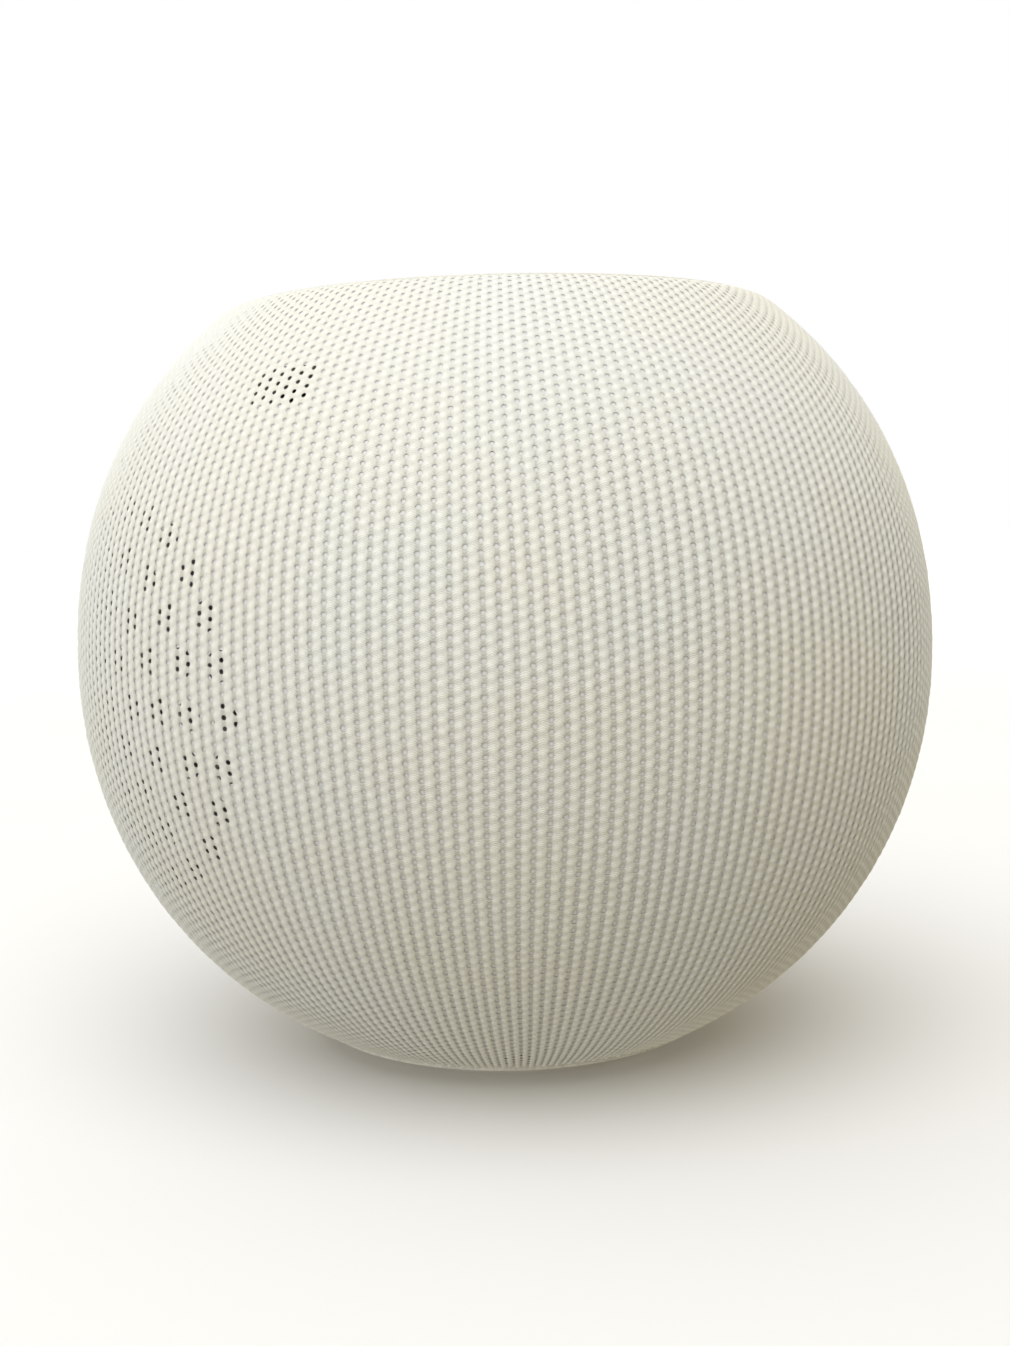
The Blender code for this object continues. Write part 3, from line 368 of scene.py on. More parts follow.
def knit_faces(rows):
    """Faces of the stitch net over indices [kind, column, row].

    Kinds 0 to 3 are an eye's top, bottom, left and right points. Kinds 4 and 5 are the two points of a wale
    in each row. Eyes of odd columns sit half a row lower than those of even ones.
    """
    size = rows + 1

    def at(kind, column, row):
        return (kind * WALES + column % WALES) * size + row

    top, bottom, left, right, upper, lower = range(6)
    faces = []
    for i in range(WALES):
        odd = i % 2
        k = i + 1
        for j in range(rows):
            x = at(upper, i, j)
            y = at(lower, i, j)
            last = j == rows - 1
            x_next = at(upper, i, j + 1)
            if odd:
                faces.append([at(top, i, j), at(right, i, j), at(bottom, i, j), y, x])
                faces.append([x, y, at(top, k, j + 1), at(bottom, k, j)])
                if not last:
                    faces.append([at(bottom, i, j), at(top, i, j + 1), x_next, y])
                    eye = [at(bottom, k, j + 1), at(left, k, j + 1), at(top, k, j + 1)]
                    faces.append([y, x_next, *eye])
            else:
                faces.append([at(bottom, i, j), at(top, i, j + 1), y, x])
                faces.append([x, y, at(bottom, k, j), at(left, k, j), at(top, k, j)])
                if not last:
                    eye = [at(top, i, j + 1), at(right, i, j + 1), at(bottom, i, j + 1)]
                    faces.append([*eye, x_next, y])
                    faces.append([y, x_next, at(top, k, j + 1), at(bottom, k, j)])
    return faces


def knit_points(surface, rows):
    """Points of the stitch net in the order of knit_faces, and what the yarn's material needs at each.

    Across, u counts wales, and v counts rows. The second array holds how far a point is from its column of
    eyes (0 to 0.5), its row, and how high it stands in its stitch (0 to 1); the material paints shade from
    the first and the last.
    """
    size = rows + 1
    rng = np.random.default_rng(11)
    column = np.repeat(np.arange(WALES), size).reshape(WALES, size).astype(float)
    row = np.tile(np.arange(size), WALES).reshape(WALES, size).astype(float)
    odd = column % 2
    eye_v = row + 0.5 * odd
    left = column - EYE_HALF_WIDTH
    right = column + EYE_HALF_WIDTH
    wale = column + 0.5
    u = np.stack([column, column, left, right, wale, wale])
    v = np.stack([eye_v - EYE_HALF_HEIGHT, eye_v + EYE_HALF_HEIGHT, eye_v, eye_v, row + 0.25, row + 0.75])
    upper = np.where(odd > 0, STITCH_VALLEY, STITCH_TOP)
    lower = np.where(odd > 0, STITCH_TOP, STITCH_VALLEY)
    flat = np.ones_like(column)
    bridge = flat * BRIDGE_HEIGHT
    eye_side = flat * EYE_SIDE_HEIGHT
    height = np.stack([bridge, bridge, eye_side, eye_side, upper, lower])
    crest = (height - STITCH_VALLEY) / (STITCH_TOP - STITCH_VALLEY)
    beside = np.stack([flat * share for share in (0.0, 0.0, EYE_HALF_WIDTH, EYE_HALF_WIDTH, 0.5, 0.5)])
    # No two stitches are quite alike.
    u = u + rng.normal(0, WALE_JITTER, u.shape)
    v = v + rng.normal(0, ROW_JITTER, v.shape)
    uneven = np.where(height > EYE_SIDE_HEIGHT + 0.01, 1.0, 0.15)
    height = height + rng.normal(0, HEIGHT_JITTER, height.shape) * uneven
    v = np.clip(v, 0.0, rows)
    angle = (u + 0.5) * 2 * math.pi / WALES
    s = v * (surface.length / rows)
    # The wales wander a little, as a stretched sleeve does.
    drift = 0.0045 * np.sin(3 * angle + s * 0.06) * np.sin(s * 0.045)
    drift = drift + 0.003 * np.sin(11 * angle - s * 0.11)
    # Where the wales are narrow, the stitches stand up less.
    radius, level = surface.section(s)
    fine = radius * 2 * math.pi / WALES / ROW_PITCH
    relief = np.clip(fine / FULL_STITCH, LEAST_RELIEF, 1.0)
    height = BRIDGE_HEIGHT + (height - BRIDGE_HEIGHT) * relief
    # Towards the top edge the wales crowd together, and the painted shade in the grooves fades out.
    closing = (level - CLOSING_Z[0]) / (CLOSING_Z[1] - CLOSING_Z[0])
    beside = beside + (0.5 - beside) * (np.clip(closing, 0.0, 1.0) * CLOSING_SHARE)
    points = surface.at(angle + drift, s, height).reshape(-1, 3)
    return points, np.stack([beside, v, np.clip(crest, 0.0, 1.0)], axis=-1).reshape(-1, 3)


def make_knit(look):
    """The cover, with an opening for the power inlet at the back."""
    surface = KnitSurface()
    rows = int(round(surface.length / ROW_PITCH))
    points, place = knit_points(surface, rows)
    away = np.hypot(points[:, 0], points[:, 2] - INLET_Z)
    away[points[:, 1] < 0] = math.inf
    edge = INLET_RADIUS + INLET_EDGE
    faces = [f for f in knit_faces(rows) if min(away[i] for i in f) > edge]
    used = np.unique(np.concatenate([np.array(f) for f in faces]))
    order = np.full(len(points), -1)
    order[used] = np.arange(len(used))
    faces = [[int(order[i]) for i in f] for f in faces]
    knit = add_mesh("knit_cover", points[used], faces, look, smooth=0)
    stitch = knit.data.attributes.new("stitch", "FLOAT_VECTOR", "POINT")
    stitch.data.foreach_set("vector", place[used].astype(np.float32).ravel())
    trim_round_inlet(knit, edge)
    soft = knit.modifiers.new("yarn", "SUBSURF")
    soft.levels = 0
    soft.render_levels = 1
    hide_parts("fabric_cover")
    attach(knit, HOUSING)
    return knit


def trim_round_inlet(knit, edge):
    """Draws the cut edge round the inlet into a true circle."""
    bm = bmesh.new()
    bm.from_mesh(knit.data)
    for vert in bm.verts:
        if vert.co.y < 0 or not vert.is_boundary:
            continue
        across = Vector((vert.co.x, vert.co.z - INLET_Z * MM))
        if edge * MM * 0.9 < across.length < (edge + 1.3) * MM:
            far = Vector((vert.co.x, vert.co.y, vert.co.z - BALL_CENTRE_Z * MM)).length
            across = across.normalized() * (edge - 0.2) * MM
            rest = far**2 - across.x**2 - (across.y + (INLET_Z - BALL_CENTRE_Z) * MM) ** 2
            vert.co = Vector((across.x, math.sqrt(max(rest, 0.0)), INLET_Z * MM + across.y))
    bm.to_mesh(knit.data)
    bm.free()


def make_hems(look):
    """Rolled edges where the cover ends at the top ring, at the base and round the inlet."""
    hems = []
    for name, r, z, size in (
        ("hem_top", KNIT_TOP_RADIUS + 0.12, KNIT_TOP_Z - 0.52, 0.46),
        ("hem_base", ball_radius(KNIT_BOTTOM_Z, 0.5), KNIT_BOTTOM_Z, 0.4),
    ):
        profile = []
        for i in range(HEM_SIDES):
            turn = -2 * math.pi * i / HEM_SIDES
            profile.append((r + size * math.cos(turn), z + size * math.sin(turn)))
        hems.append(lathe(name, profile, look, steps=HEM_STEPS, smooth=0))
    hems.append(make_inlet_hem(look))
    for hem in hems:
        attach(hem, HOUSING)
    return hems


def make_inlet_hem(look):
    """A ring that lies on the ball round the inlet."""
    size = 0.44
    ring = INLET_RADIUS + 0.5
    points = []
    for i in range(FINE_STEPS):
        angle = 2 * math.pi * i / FINE_STEPS
        x = ring * math.cos(angle)
        z = INLET_Z + ring * math.sin(angle)
        y = math.sqrt(ball_radius(z, 0.55) ** 2 - x * x)
        centre = Vector((x, y, z))
        out = Vector((x, y, z - BALL_CENTRE_Z)).normalized()
        side = Vector((math.cos(angle), 0, math.sin(angle)))
        side = (side - out * side.dot(out)).normalized()
        for k in range(INLET_HEM_SIDES):
            turn = 2 * math.pi * k / INLET_HEM_SIDES
            points.append(centre + side * (size * math.cos(turn)) + out * (size * math.sin(turn)))
    faces = []
    for i in range(FINE_STEPS):
        here = i * INLET_HEM_SIDES
        there = (i + 1) % FINE_STEPS * INLET_HEM_SIDES
        for k in range(INLET_HEM_SIDES):
            j = (k + 1) % INLET_HEM_SIDES
            faces.append([here + k, here + j, there + j, there + k])
    return add_mesh("hem_inlet", points, faces, look, smooth=0)


# The shells


def hole_directions():
    """Unit vectors from the ball's centre to each sound hole on the +X side."""
    dip = math.radians(HOLE_AXIS_DIP)
    axis = Vector((math.cos(dip), 0, -math.sin(dip)))
    level = Vector((0, 1, 0))
    upright = level.cross(axis) * -1
    found = [axis]
    for ring in range(1, HOLE_RINGS + 1):
        lean = math.radians(HOLE_RING_STEP * ring)
        for i in range(6 * ring):
            turn = 2 * math.pi * i / (6 * ring) + math.radians(HOLE_FIELD_TURN)
            across = level * math.cos(turn) + upright * math.sin(turn)
            found.append(axis * math.cos(lean) + across * math.sin(lean))
    return found


def make_shells(look):
    """The crown and the bowl, which lap over each other inside the seam."""
    for shell, node in ((make_crown(look), "upper_shell"), (make_bowl(look), "lower_shell")):
        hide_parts(node)
        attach(shell, HOUSING)


def make_crown(look):
    seam_high = SEAM_Z + SEAM_GAP / 2
    top = KNIT_TOP_Z - SHELL_INSET
    seat = reach("touch_panel")[0].z - GAP
    notch = KNIT_TOP_RADIUS + 0.65
    corner = shoulder(SHELL_INSET, top, SHOULDER_RADIUS - SHELL_INSET, 16)
    corner = [p for p in corner if p[0] > notch + 0.05]
    outer = [(FLANGE_RADIUS, seat), (notch, seat), (notch, corner[0][1] + 0.01), *corner]
    outer += ball_curve(SHELL_INSET, outer[-1][1] - 0.02, seam_high, 2.0)[1:]
    lap = SHELL_INSIDE - 0.9
    lap_low = seam_high - LAP
    outer += [(ball_radius(seam_high, lap), seam_high), (ball_radius(lap_low, lap), lap_low)]
    under = seat - 1.9
    inner = [(FLANGE_RADIUS, under), *ball_curve(SHELL_INSIDE, under, lap_low, 2.0)]
    crown = lathe("crown_shell", outer + inner[::-1], look)
    bm = bmesh.new()
    for angle in WINDOW_ANGLES:
        turn = facing(angle, WINDOW_LATITUDE)
        centre = Vector((0, 0, BALL_CENTRE_Z)) + turn.col[2] * (BALL_RADIUS - 2.5)
        add_rounded_block(bm, (*WINDOW_SIZE, 9.0), 1.2, Matrix.Translation(centre * MM) @ turn.to_4x4())
    cut(crown, cutter_from(bm, "window_cutters"))
    return crown


def make_bowl(look):
    seam_low = SEAM_Z - SEAM_GAP / 2
    lap_low = seam_low - LAP
    base_high = reach("base_plate")[1]
    ledge = base_high.z - 0.1
    bottom = reach("lower_shell")[0].z
    opening = base_high.x - 0.6
    outer = ball_curve(SHELL_INSET, seam_low, bottom + 0.15, 2.0)
    foot = [(opening, bottom), (opening, ledge), (ball_radius(ledge, SHELL_INSIDE), ledge)]
    inner = ball_curve(SHELL_INSIDE, lap_low, ledge + 0.3, 2.0)[::-1]
    lap = SHELL_INSIDE - 1.2
    rim = [(ball_radius(lap_low, lap), lap_low), (ball_radius(seam_low, lap), seam_low)]
    bowl = lathe("bowl_shell", outer + foot + inner + rim, look)
    bm = bmesh.new()
    centre = Vector((0, 0, BALL_CENTRE_Z))
    for side in (-1, 1):
        for way in hole_directions():
            out = Vector((side * way.x, way.y, way.z))
            rod_mesh(bm, HOLE_RADIUS, centre + out * 40, centre + out * 55, 20)
    cut(bowl, cutter_from(bm, "sound_hole_cutters"))
    bm = bmesh.new()
    for i in range(SLOT_COUNT):
        angle = 360 * (i + 0.5) / SLOT_COUNT
        turn = Matrix.Rotation(math.radians(angle - 90), 4, "Z")
        place = Matrix.Translation(radial(angle, SLOT_RADIUS, 6.5) * MM) @ turn
        add_rounded_block(bm, (*SLOT_SIZE, 12.0), 1.3, place)
    rod_mesh(bm, INLET_RADIUS + GAP, Vector((0, 30, INLET_Z)), Vector((0, 60, INLET_Z)), 64)
    cut(bowl, cutter_from(bm, "slot_cutters"))
    return bowl


def add_rounded_block(bm, size, corner, place):
    """A block whose upright edges are rounded."""
    corners = []
    for cx, cy, start in ((1, 1, 0), (-1, 1, 90), (-1, -1, 180), (1, -1, 270)):
        for k in range(5):
            angle = math.radians(start + 22.5 * k)
            x = cx * (size[0] / 2 - corner) + corner * math.cos(angle)
            y = cy * (size[1] / 2 - corner) + corner * math.sin(angle)
            corners.append((x, y))
    low = [bm.verts.new(place @ Vector((x * MM, y * MM, -size[2] / 2 * MM))) for x, y in corners]
    high = [bm.verts.new(place @ Vector((x * MM, y * MM, size[2] / 2 * MM))) for x, y in corners]
    bm.faces.new(high)
    bm.faces.new(low[::-1])
    count = len(corners)
    for i in range(count):
        j = (i + 1) % count
        bm.faces.new([low[i], low[j], high[j], high[i]])


# The top, the base and the inlet


def stand_for(piece, node, body=HOUSING):
    """piece takes node's place, with its finish, and rides on body."""
    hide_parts(node)
    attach(piece, body)


def make_top(looks):
    """The touch panel, very slightly crowned, and the ring that holds the knit's edge."""
    low, high = reach("touch_panel")
    r = high.x
    crown = []
    for i in range(9):
        share = i / 8
        crown.append((r * 0.965 * share, high.z - 0.10 * share**2))
    edge = [(r - 0.35, high.z - 0.16), (r - 0.1, high.z - 0.3), (r, high.z - 0.55), (r, low.z), (0.0, low.z)]
    panel = lathe("top_panel", crown + edge, looks["panel"], closed=False, smooth=50)
    stand_for(panel, "touch_panel")
    low, high = reach("top_trim_ring")
    inner = r + GAP
    outer = high.x
    ring = rounded([(inner, high.z), (outer, high.z), (outer, low.z), (inner, low.z)], 0.32)
    stand_for(lathe("top_ring", ring, looks["trim"]), "top_trim_ring")


def make_base(looks):
    """The base plate, with its groove for the foot and its sunk screw holes, and the soft foot ring."""
    low, high = reach("base_plate")
    foot_high = reach("foot_pad")[1]
    outer = foot_high.x
    inner = FOOT_INNER
    flange = high.x
    body = flange - 0.9
    lip = reach("lower_shell")[0].z - GAP
    profile = [
        (0.0, high.z, 0.0),
        (body, high.z, 0.4),
        (body, lip, 0.1),
        (flange, lip, 0.2),
        (flange, low.z, 0.35),
        (outer + GAP, low.z, 0.12),
        (outer + GAP, foot_high.z + GAP, 0.1),
        (inner - GAP, foot_high.z + GAP, 0.1),
        (inner - GAP, low.z, 0.12),
        (0.0, low.z, 0.0),
    ]
    plate = lathe("base", rounded(profile, 0.1), looks["base"], closed=False)
    bm = bmesh.new()
    for angle in QUARTERS:
        place = radial(angle, BASE_SCREW_RADIUS)
        rod_mesh(bm, 1.3, place, place + Vector((0, 0, 8.5)), 24)
        rod_mesh(bm, 2.5, place - Vector((0, 0, 1)), place + Vector((0, 0, 3.1)), 32)
    cut(plate, cutter_from(bm, "screw_sinks"))
    stand_for(plate, "base_plate")
    pad = [(inner, foot_high.z, 0.1), (outer, foot_high.z, 0.1), (outer, 0.0, 0.5), (inner, 0.0, 0.5)]
    stand_for(lathe("foot", rounded(pad, 0.4, 4), looks["foot"]), "foot_pad")


def make_inlet(looks):
    """The cup round the power socket. Its outer end follows the ball."""
    turn = Matrix.Translation(Vector((0, 0, INLET_Z))) @ Matrix.Rotation(-math.pi / 2, 4, "X")
    profile = [
        (0.0, INLET_LOW.y),
        (INLET_RADIUS, INLET_LOW.y),
        (INLET_RADIUS, 60.0),
        (INLET_POCKET, 60.0),
        (INLET_POCKET, INLET_FLOOR_Y + 0.3),
        (INLET_POCKET - 0.3, INLET_FLOOR_Y),
        (0.0, INLET_FLOOR_Y),
    ]
    bezel = lathe("inlet_surround", profile, looks["trim"], steps=FINE_STEPS, closed=False, turn=turn)
    for vert in bezel.data.vertices:
        if vert.co.y < 50 * MM:
            continue
        z = vert.co.z / MM
        x = vert.co.x / MM
        vert.co.y = math.sqrt(ball_radius(z, 0.1) ** 2 - x * x) * MM
    bevel = bezel.modifiers.new("edges", "BEVEL")
    bevel.width = 0.3 * MM
    bevel.segments = 3
    bevel.limit_method = "ANGLE"
    bevel.angle_limit = math.radians(SHARP_ANGLE)
    bm = bmesh.new()
    place = Matrix.Translation(Vector((0, 38.6, INLET_Z)) * MM) @ Matrix.Rotation(math.pi / 2, 4, "X")
    add_rounded_block(bm, SOCKET_SLOT, 1.95, place)
    cut(bezel, cutter_from(bm, "socket_slot"))
    stand_for(bezel, "inlet_bezel")


# The soft rings that hold the moving parts


def make_soft_ring(name, node, stations, look, thickness, turn=None):
    """A soft ring between the housing and a moving body, with a piece for each fold of its section.

    stations are (radius, height) from the rim on the housing to the rim on the moving body. Each piece runs
    from one station to the next, so it only rises or only falls, and neighbours share an edge.
    """
    turn = turn or Matrix.Identity(4)
    for k in range(1, len(stations) - 2):
        (r0, z0), (r1, z1) = stations[k], stations[k + 1]
        line = []
        for i in range(SOFT_STEPS + 1):
            t = (1.0 - math.cos(math.pi * i / SOFT_STEPS)) / 2
            rise = (1.0 - math.cos(math.pi * t)) / 2
            line.append((r0 + (r1 - r0) * t, z0 + (z1 - z0) * rise))
        if k == 1:
            line.insert(0, stations[0])
        if k == len(stations) - 3:
            line.append(stations[-1])
        piece = lathe(f"{name}_{k}", line, look, steps=FINE_STEPS, closed=False, turn=turn, smooth=60)
        skin = piece.modifiers.new("thickness", "SOLIDIFY")
        skin.thickness = thickness * MM
        skin.offset = 0.0
        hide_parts(node)
        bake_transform(piece)


def half_roll(rim, radii, lip, crest):
    """Stations of a rubber surround: flat at both lips, with one roll between them."""
    outer, middle, inner, end = radii
    return [(rim, lip), (outer, lip), (middle, crest), (inner, lip), (end, lip)]


def make_soft_rings(looks):
    rubber = looks["rubber"]
    low, high = reach("surround")
    stations = half_roll(high.x, SURROUND_RADII, high.z - 0.3, low.z + 0.2)
    make_soft_ring("cone_surround", "surround", stations, rubber, SURROUND_WALL)

    low, high = reach("spider")
    level = (low.z + high.z) / 2
    fold = (high.z - low.z) / 2 - 0.15
    folds = [(r, level - fold * (-1) ** i) for i, r in enumerate(SPIDER_FOLDS)]
    stations = [(high.x, level), (15.6, level), *folds, (8.0, level), (7.6, level)]
    make_soft_ring("spider_fold", "spider", stations, looks["spider"], SPIDER_WALL)

    for side, name in ((-1, "left"), (1, "right")):
        node = f"{name}_radiator_surround"
        low, high = reach(node)
        near, far = sorted((abs(low.x), abs(high.x)))
        stations = half_roll((high.z - low.z) / 2, RADIATOR_RADII, near + 0.3, far - 0.2)
        turn = sideways(side, (low.z + high.z) / 2)
        make_soft_ring(f"{name}_surround", node, stations, rubber, SURROUND_WALL, turn)


def sideways(side, z):
    """Places a piece turned about Z at height z, with its axis pointing to -X or +X."""
    return Matrix.Translation(Vector((0, 0, z))) @ Matrix.Rotation(side * math.pi / 2, 4, "Y")


# The driver and the radiators


def cone_height(r):
    """The flare of the cone's front, from its rim inwards."""
    inwards = CONE_RADII[1] - r
    return CONE_RIM_Z + 0.2129 * inwards + 0.02135 * inwards**2


def cap_height(r):
    return CAP_CENTRE_Z + 0.02195 * r**2


def thin_bowl(height, inner, outer, thickness, count):
    """A closed section whose lower side follows height(radius)."""
    radii = [inner + (outer - inner) * i / count for i in range(count + 1)]
    above = [(r, height(r) + thickness) for r in radii]
    return above + [(r, height(r)) for r in radii[::-1]]


# Sections of the turned parts. A third number is that corner's own rounding.
MAGNET = [(9.2, 34.3), (14.6, 34.3), (14.6, 28.0), (9.2, 28.0)]
TOP_PLATE = [(7.95, 27.7), (15, 27.7), (15, 24.7), (7.95, 24.7)]
YOKE = [(0, 37.6, 0), (15, 37.6), (15, 34.6, 0.3), (6.3, 34.6, 0.3), (6.3, 24.7, 0.3), (0, 24.7, 0)]
COIL_TOP = [(6.7, 30.5), (7.1, 30.5), (7.1, 28.8), (7.55, 28.8)]
COIL_FOOT = [(7.55, 24.2), (7.1, 24.2), (7.1, 17.0), (6.7, 17.0)]
CAPACITOR = [(0, 74, 0), (3.2, 74), (3.2, 70.0), (2.95, 69.7), (3.2, 69.4), (3.2, 68.5), (0, 68.5, 0)]
BASKET_BACK = [(9.2, 24.4), (16.4, 24.4), (16.6, 21.4), (19.3, 21.2), (20.1, 17.5), (20.9, 15.4)]
BASKET_FLANGE = [(20.9, 14.6), (22.6, 14.6), (22.6, 13.7), (27.0, 13.7), (27.0, 12.2), (22.3, 12.2)]
BASKET_LIP = [(22.3, 13.6), (19.9, 13.6), (19.6, 14.0)]
BASKET_FRONT = [(18.9, 17.5), (18.2, 20.2), (15.4, 20.2), (15.2, 23.4), (9.2, 23.4)]

# A radiator's sections, with heights along its own axis from the ball's.
RADIATOR_RIM = [(13.4, 38.9), (17.2, 38.9), (17.2, 36.9), (13.4, 36.9)]
RADIATOR_PLATE = [(0, 39.1, 0), (8.6, 39.0), (9.0, 38.75), (10.7, 38.75), (10.7, 37.5), (0, 37.5, 0)]
RADIATOR_MASS = [(0, 37.2, 0), (6.5, 37.2), (6.5, 34.0), (0, 34.0, 0)]


def make_turned(name, node, body, slot, section, looks, turn=None):
    """A smooth turned piece that stands for a node."""
    closed = section[0][0] > 0
    piece = lathe(name, section, looks[slot], steps=FINE_STEPS, closed=closed, turn=turn, smooth=35)
    stand_for(piece, node, body)


def make_basket(looks):
    """The driver's frame, with four windows in its wall and four screw holes in its flange."""
    section = rounded(BASKET_BACK + BASKET_FLANGE + BASKET_LIP + BASKET_FRONT, 0.3)
    basket = lathe("basket", section, looks["basket"], steps=FINE_STEPS)
    bm = bmesh.new()
    for corner in QUARTERS:
        angle = corner - 45
        place = Matrix.Translation(radial(angle, 20, BASKET_WINDOW_Z) * MM) @ facing(angle, 0).to_4x4()
        add_rounded_block(bm, BASKET_WINDOW, 0.8, place)
        hole = radial(corner, DRIVER_SCREW_RADIUS)
        rod_mesh(bm, 1.2, hole, hole + Vector((0, 0, 20)), 24)
    cut(basket, cutter_from(bm, "basket_cutters"))
    stand_for(basket, "driver_frame")


def make_inside(looks):
    coil = rounded(COIL_TOP + COIL_FOOT, 0.08)
    paper = thin_bowl(cone_height, *CONE_RADII, PAPER_WALL, 24)
    cap = thin_bowl(cap_height, 0.0, CAP_RADIUS, PAPER_WALL, 16)
    make_turned("magnet", "driver_magnet", HOUSING, "ferrite", rounded(MAGNET, 0.5), looks)
    make_turned("top_plate", "driver_top_plate", HOUSING, "zinc", rounded(TOP_PLATE, 0.3), looks)
    make_turned("yoke", "driver_yoke", HOUSING, "zinc", rounded(YOKE, 0.6), looks)
    make_turned("coil", "voice_coil", "driver_cone", "copper", coil, looks)
    make_turned("paper_cone", "cone", "driver_cone", "cone", paper, looks)
    make_turned("centre_cap", "dust_cap", "driver_cone", "cone", cap, looks)
    stand = Matrix.Translation(Vector((*CAPACITOR_PLACE, 0)))
    make_turned("electrolytic", "capacitor", HOUSING, "can", rounded(CAPACITOR, 0.3), looks, stand)
    make_basket(looks)

    rim = rounded(RADIATOR_RIM, 0.4)
    plate = rounded(RADIATOR_PLATE, 0.3)
    mass = rounded(RADIATOR_MASS, 0.4)
    for side, name in ((-1, "left"), (1, "right")):
        body = f"{name}_radiator"
        low, high = reach(f"{body}_frame")
        turn = sideways(side, (low.z + high.z) / 2)
        make_turned(f"{name}_rim", f"{body}_frame", HOUSING, "basket", rim, looks, turn)
        make_turned(f"{name}_plate", f"{body}_diaphragm", body, "diaphragm", plate, looks, turn)
        make_turned(f"{name}_mass", f"{body}_weight", body, "zinc", mass, looks, turn)


# Materials


class Look:
    """A Principled material built up node by node."""

    def __init__(self, name, colour, roughness, metallic=0.0, **sockets):
        self.made = bpy.data.materials.new(name)
        self.made.use_nodes = True
        self.nodes = self.made.node_tree.nodes
        self.links = self.made.node_tree.links
        self.shader = self.nodes["Principled BSDF"]
        self.set("Base Color", (*colour, 1.0))
        self.set("Roughness", roughness)
        self.set("Metallic", metallic)
        for key, value in sockets.items():
            self.set(key.replace("_", " "), value)

    def set(self, socket, value):
        self.shader.inputs[socket].default_value = value

    def node(self, kind, **values):
        made = self.nodes.new(kind)
        for key, value in values.items():
            if hasattr(made, key):
                setattr(made, key, value)
            else:
                made.inputs[key.replace("_", " ")].default_value = value
        return made

    def join(self, source, target):
        self.links.new(source, target)

    def object_point(self, scale=(1, 1, 1)):
        where = self.node("ShaderNodeTexCoord").outputs["Object"]
        mapping = self.node("ShaderNodeMapping")
        mapping.inputs["Scale"].default_value = scale
        self.join(where, mapping.inputs["Vector"])
        return mapping.outputs["Vector"]

    def noise(self, scale, detail=3.0, point=None, roughness=0.5):
        made = self.node("ShaderNodeTexNoise", Scale=scale, Detail=detail, Roughness=roughness)
        self.join(point or self.object_point(), made.inputs["Vector"])
        return made.outputs["Fac"]

    def ramp(self, fac, *stops):
        made = self.node("ShaderNodeValToRGB")
        ramp = made.color_ramp
        while len(ramp.elements) < len(stops):
            ramp.elements.new(0.5)
        for element, (position, colour) in zip(ramp.elements, stops):
            element.position = position
            if not hasattr(colour, "__len__"):
                colour = (colour, colour, colour)
            element.color = (*colour, 1.0)
        self.join(fac, made.inputs["Fac"])
        return made.outputs["Color"]

    def mix(self, a, b, fac, mode="MIX"):
        made = self.node("ShaderNodeMix", data_type="RGBA", blend_type=mode)
        sockets = [s for s in made.inputs if s.type == "RGBA"]
        for value, socket in ((a, sockets[0]), (b, sockets[1])):
            if isinstance(value, tuple):
                socket.default_value = (*value, 1.0)
            else:
                self.join(value, socket)
        if isinstance(fac, float):
            made.inputs["Factor"].default_value = fac
        else:
            self.join(fac, made.inputs["Factor"])
        return next(s for s in made.outputs if s.type == "RGBA")

    def maths(self, operation, a, b=0.0, clamp=False):
        made = self.node("ShaderNodeMath", operation=operation, use_clamp=clamp)
        for value, socket in ((a, made.inputs[0]), (b, made.inputs[1])):
            if isinstance(value, (int, float)):
                socket.default_value = value
            else:
                self.join(value, socket)
        return made.outputs["Value"]

    def colour(self, output):
        self.join(output, self.shader.inputs["Base Color"])

    def roughness(self, output):
        self.join(output, self.shader.inputs["Roughness"])

    def bump(self, height, distance, strength=1.0):
        """distance is in millimetres."""
        made = self.node("ShaderNodeBump", Strength=strength, Distance=distance * MM)
        self.join(height, made.inputs["Height"])
        self.join(made.outputs["Normal"], self.shader.inputs["Normal"])


def plastic(name, colour, roughness, grain=0.02, coat=0.0, spread=0.05):
    """Moulded plastic: fine grain, faint colour drift and rubbed patches."""
    look = Look(name, colour, roughness, Coat_Weight=coat)
    low = tuple(c * (1 - spread) for c in colour)
    high = tuple(min(1.0, c * (1 + spread)) for c in colour)
    look.colour(look.ramp(look.noise(90.0, 4.0), (0.35, low), (0.65, high)))
    rubbed = ((0.3, roughness * 0.85), (0.7, min(1.0, roughness * 1.15)))
    look.roughness(look.ramp(look.noise(260.0, 3.0), *rubbed))
    look.bump(look.noise(5200.0, 2.0), grain)
    return look.made


def brushed(name, colour, roughness, way):
    """Metal with drawn or turned marks along one axis."""
    look = Look(name, colour, roughness, 1.0)
    scale = [2600.0, 2600.0, 2600.0]
    scale[way] = 60.0
    marks = look.noise(1.0, 4.0, look.object_point(scale))
    low = tuple(c * 0.86 for c in colour)
    look.colour(look.ramp(marks, (0.3, low), (0.7, colour)))
    look.roughness(look.ramp(marks, (0.3, roughness * 0.75), (0.7, min(1.0, roughness * 1.35))))
    look.bump(marks, 0.012)
    return look.made


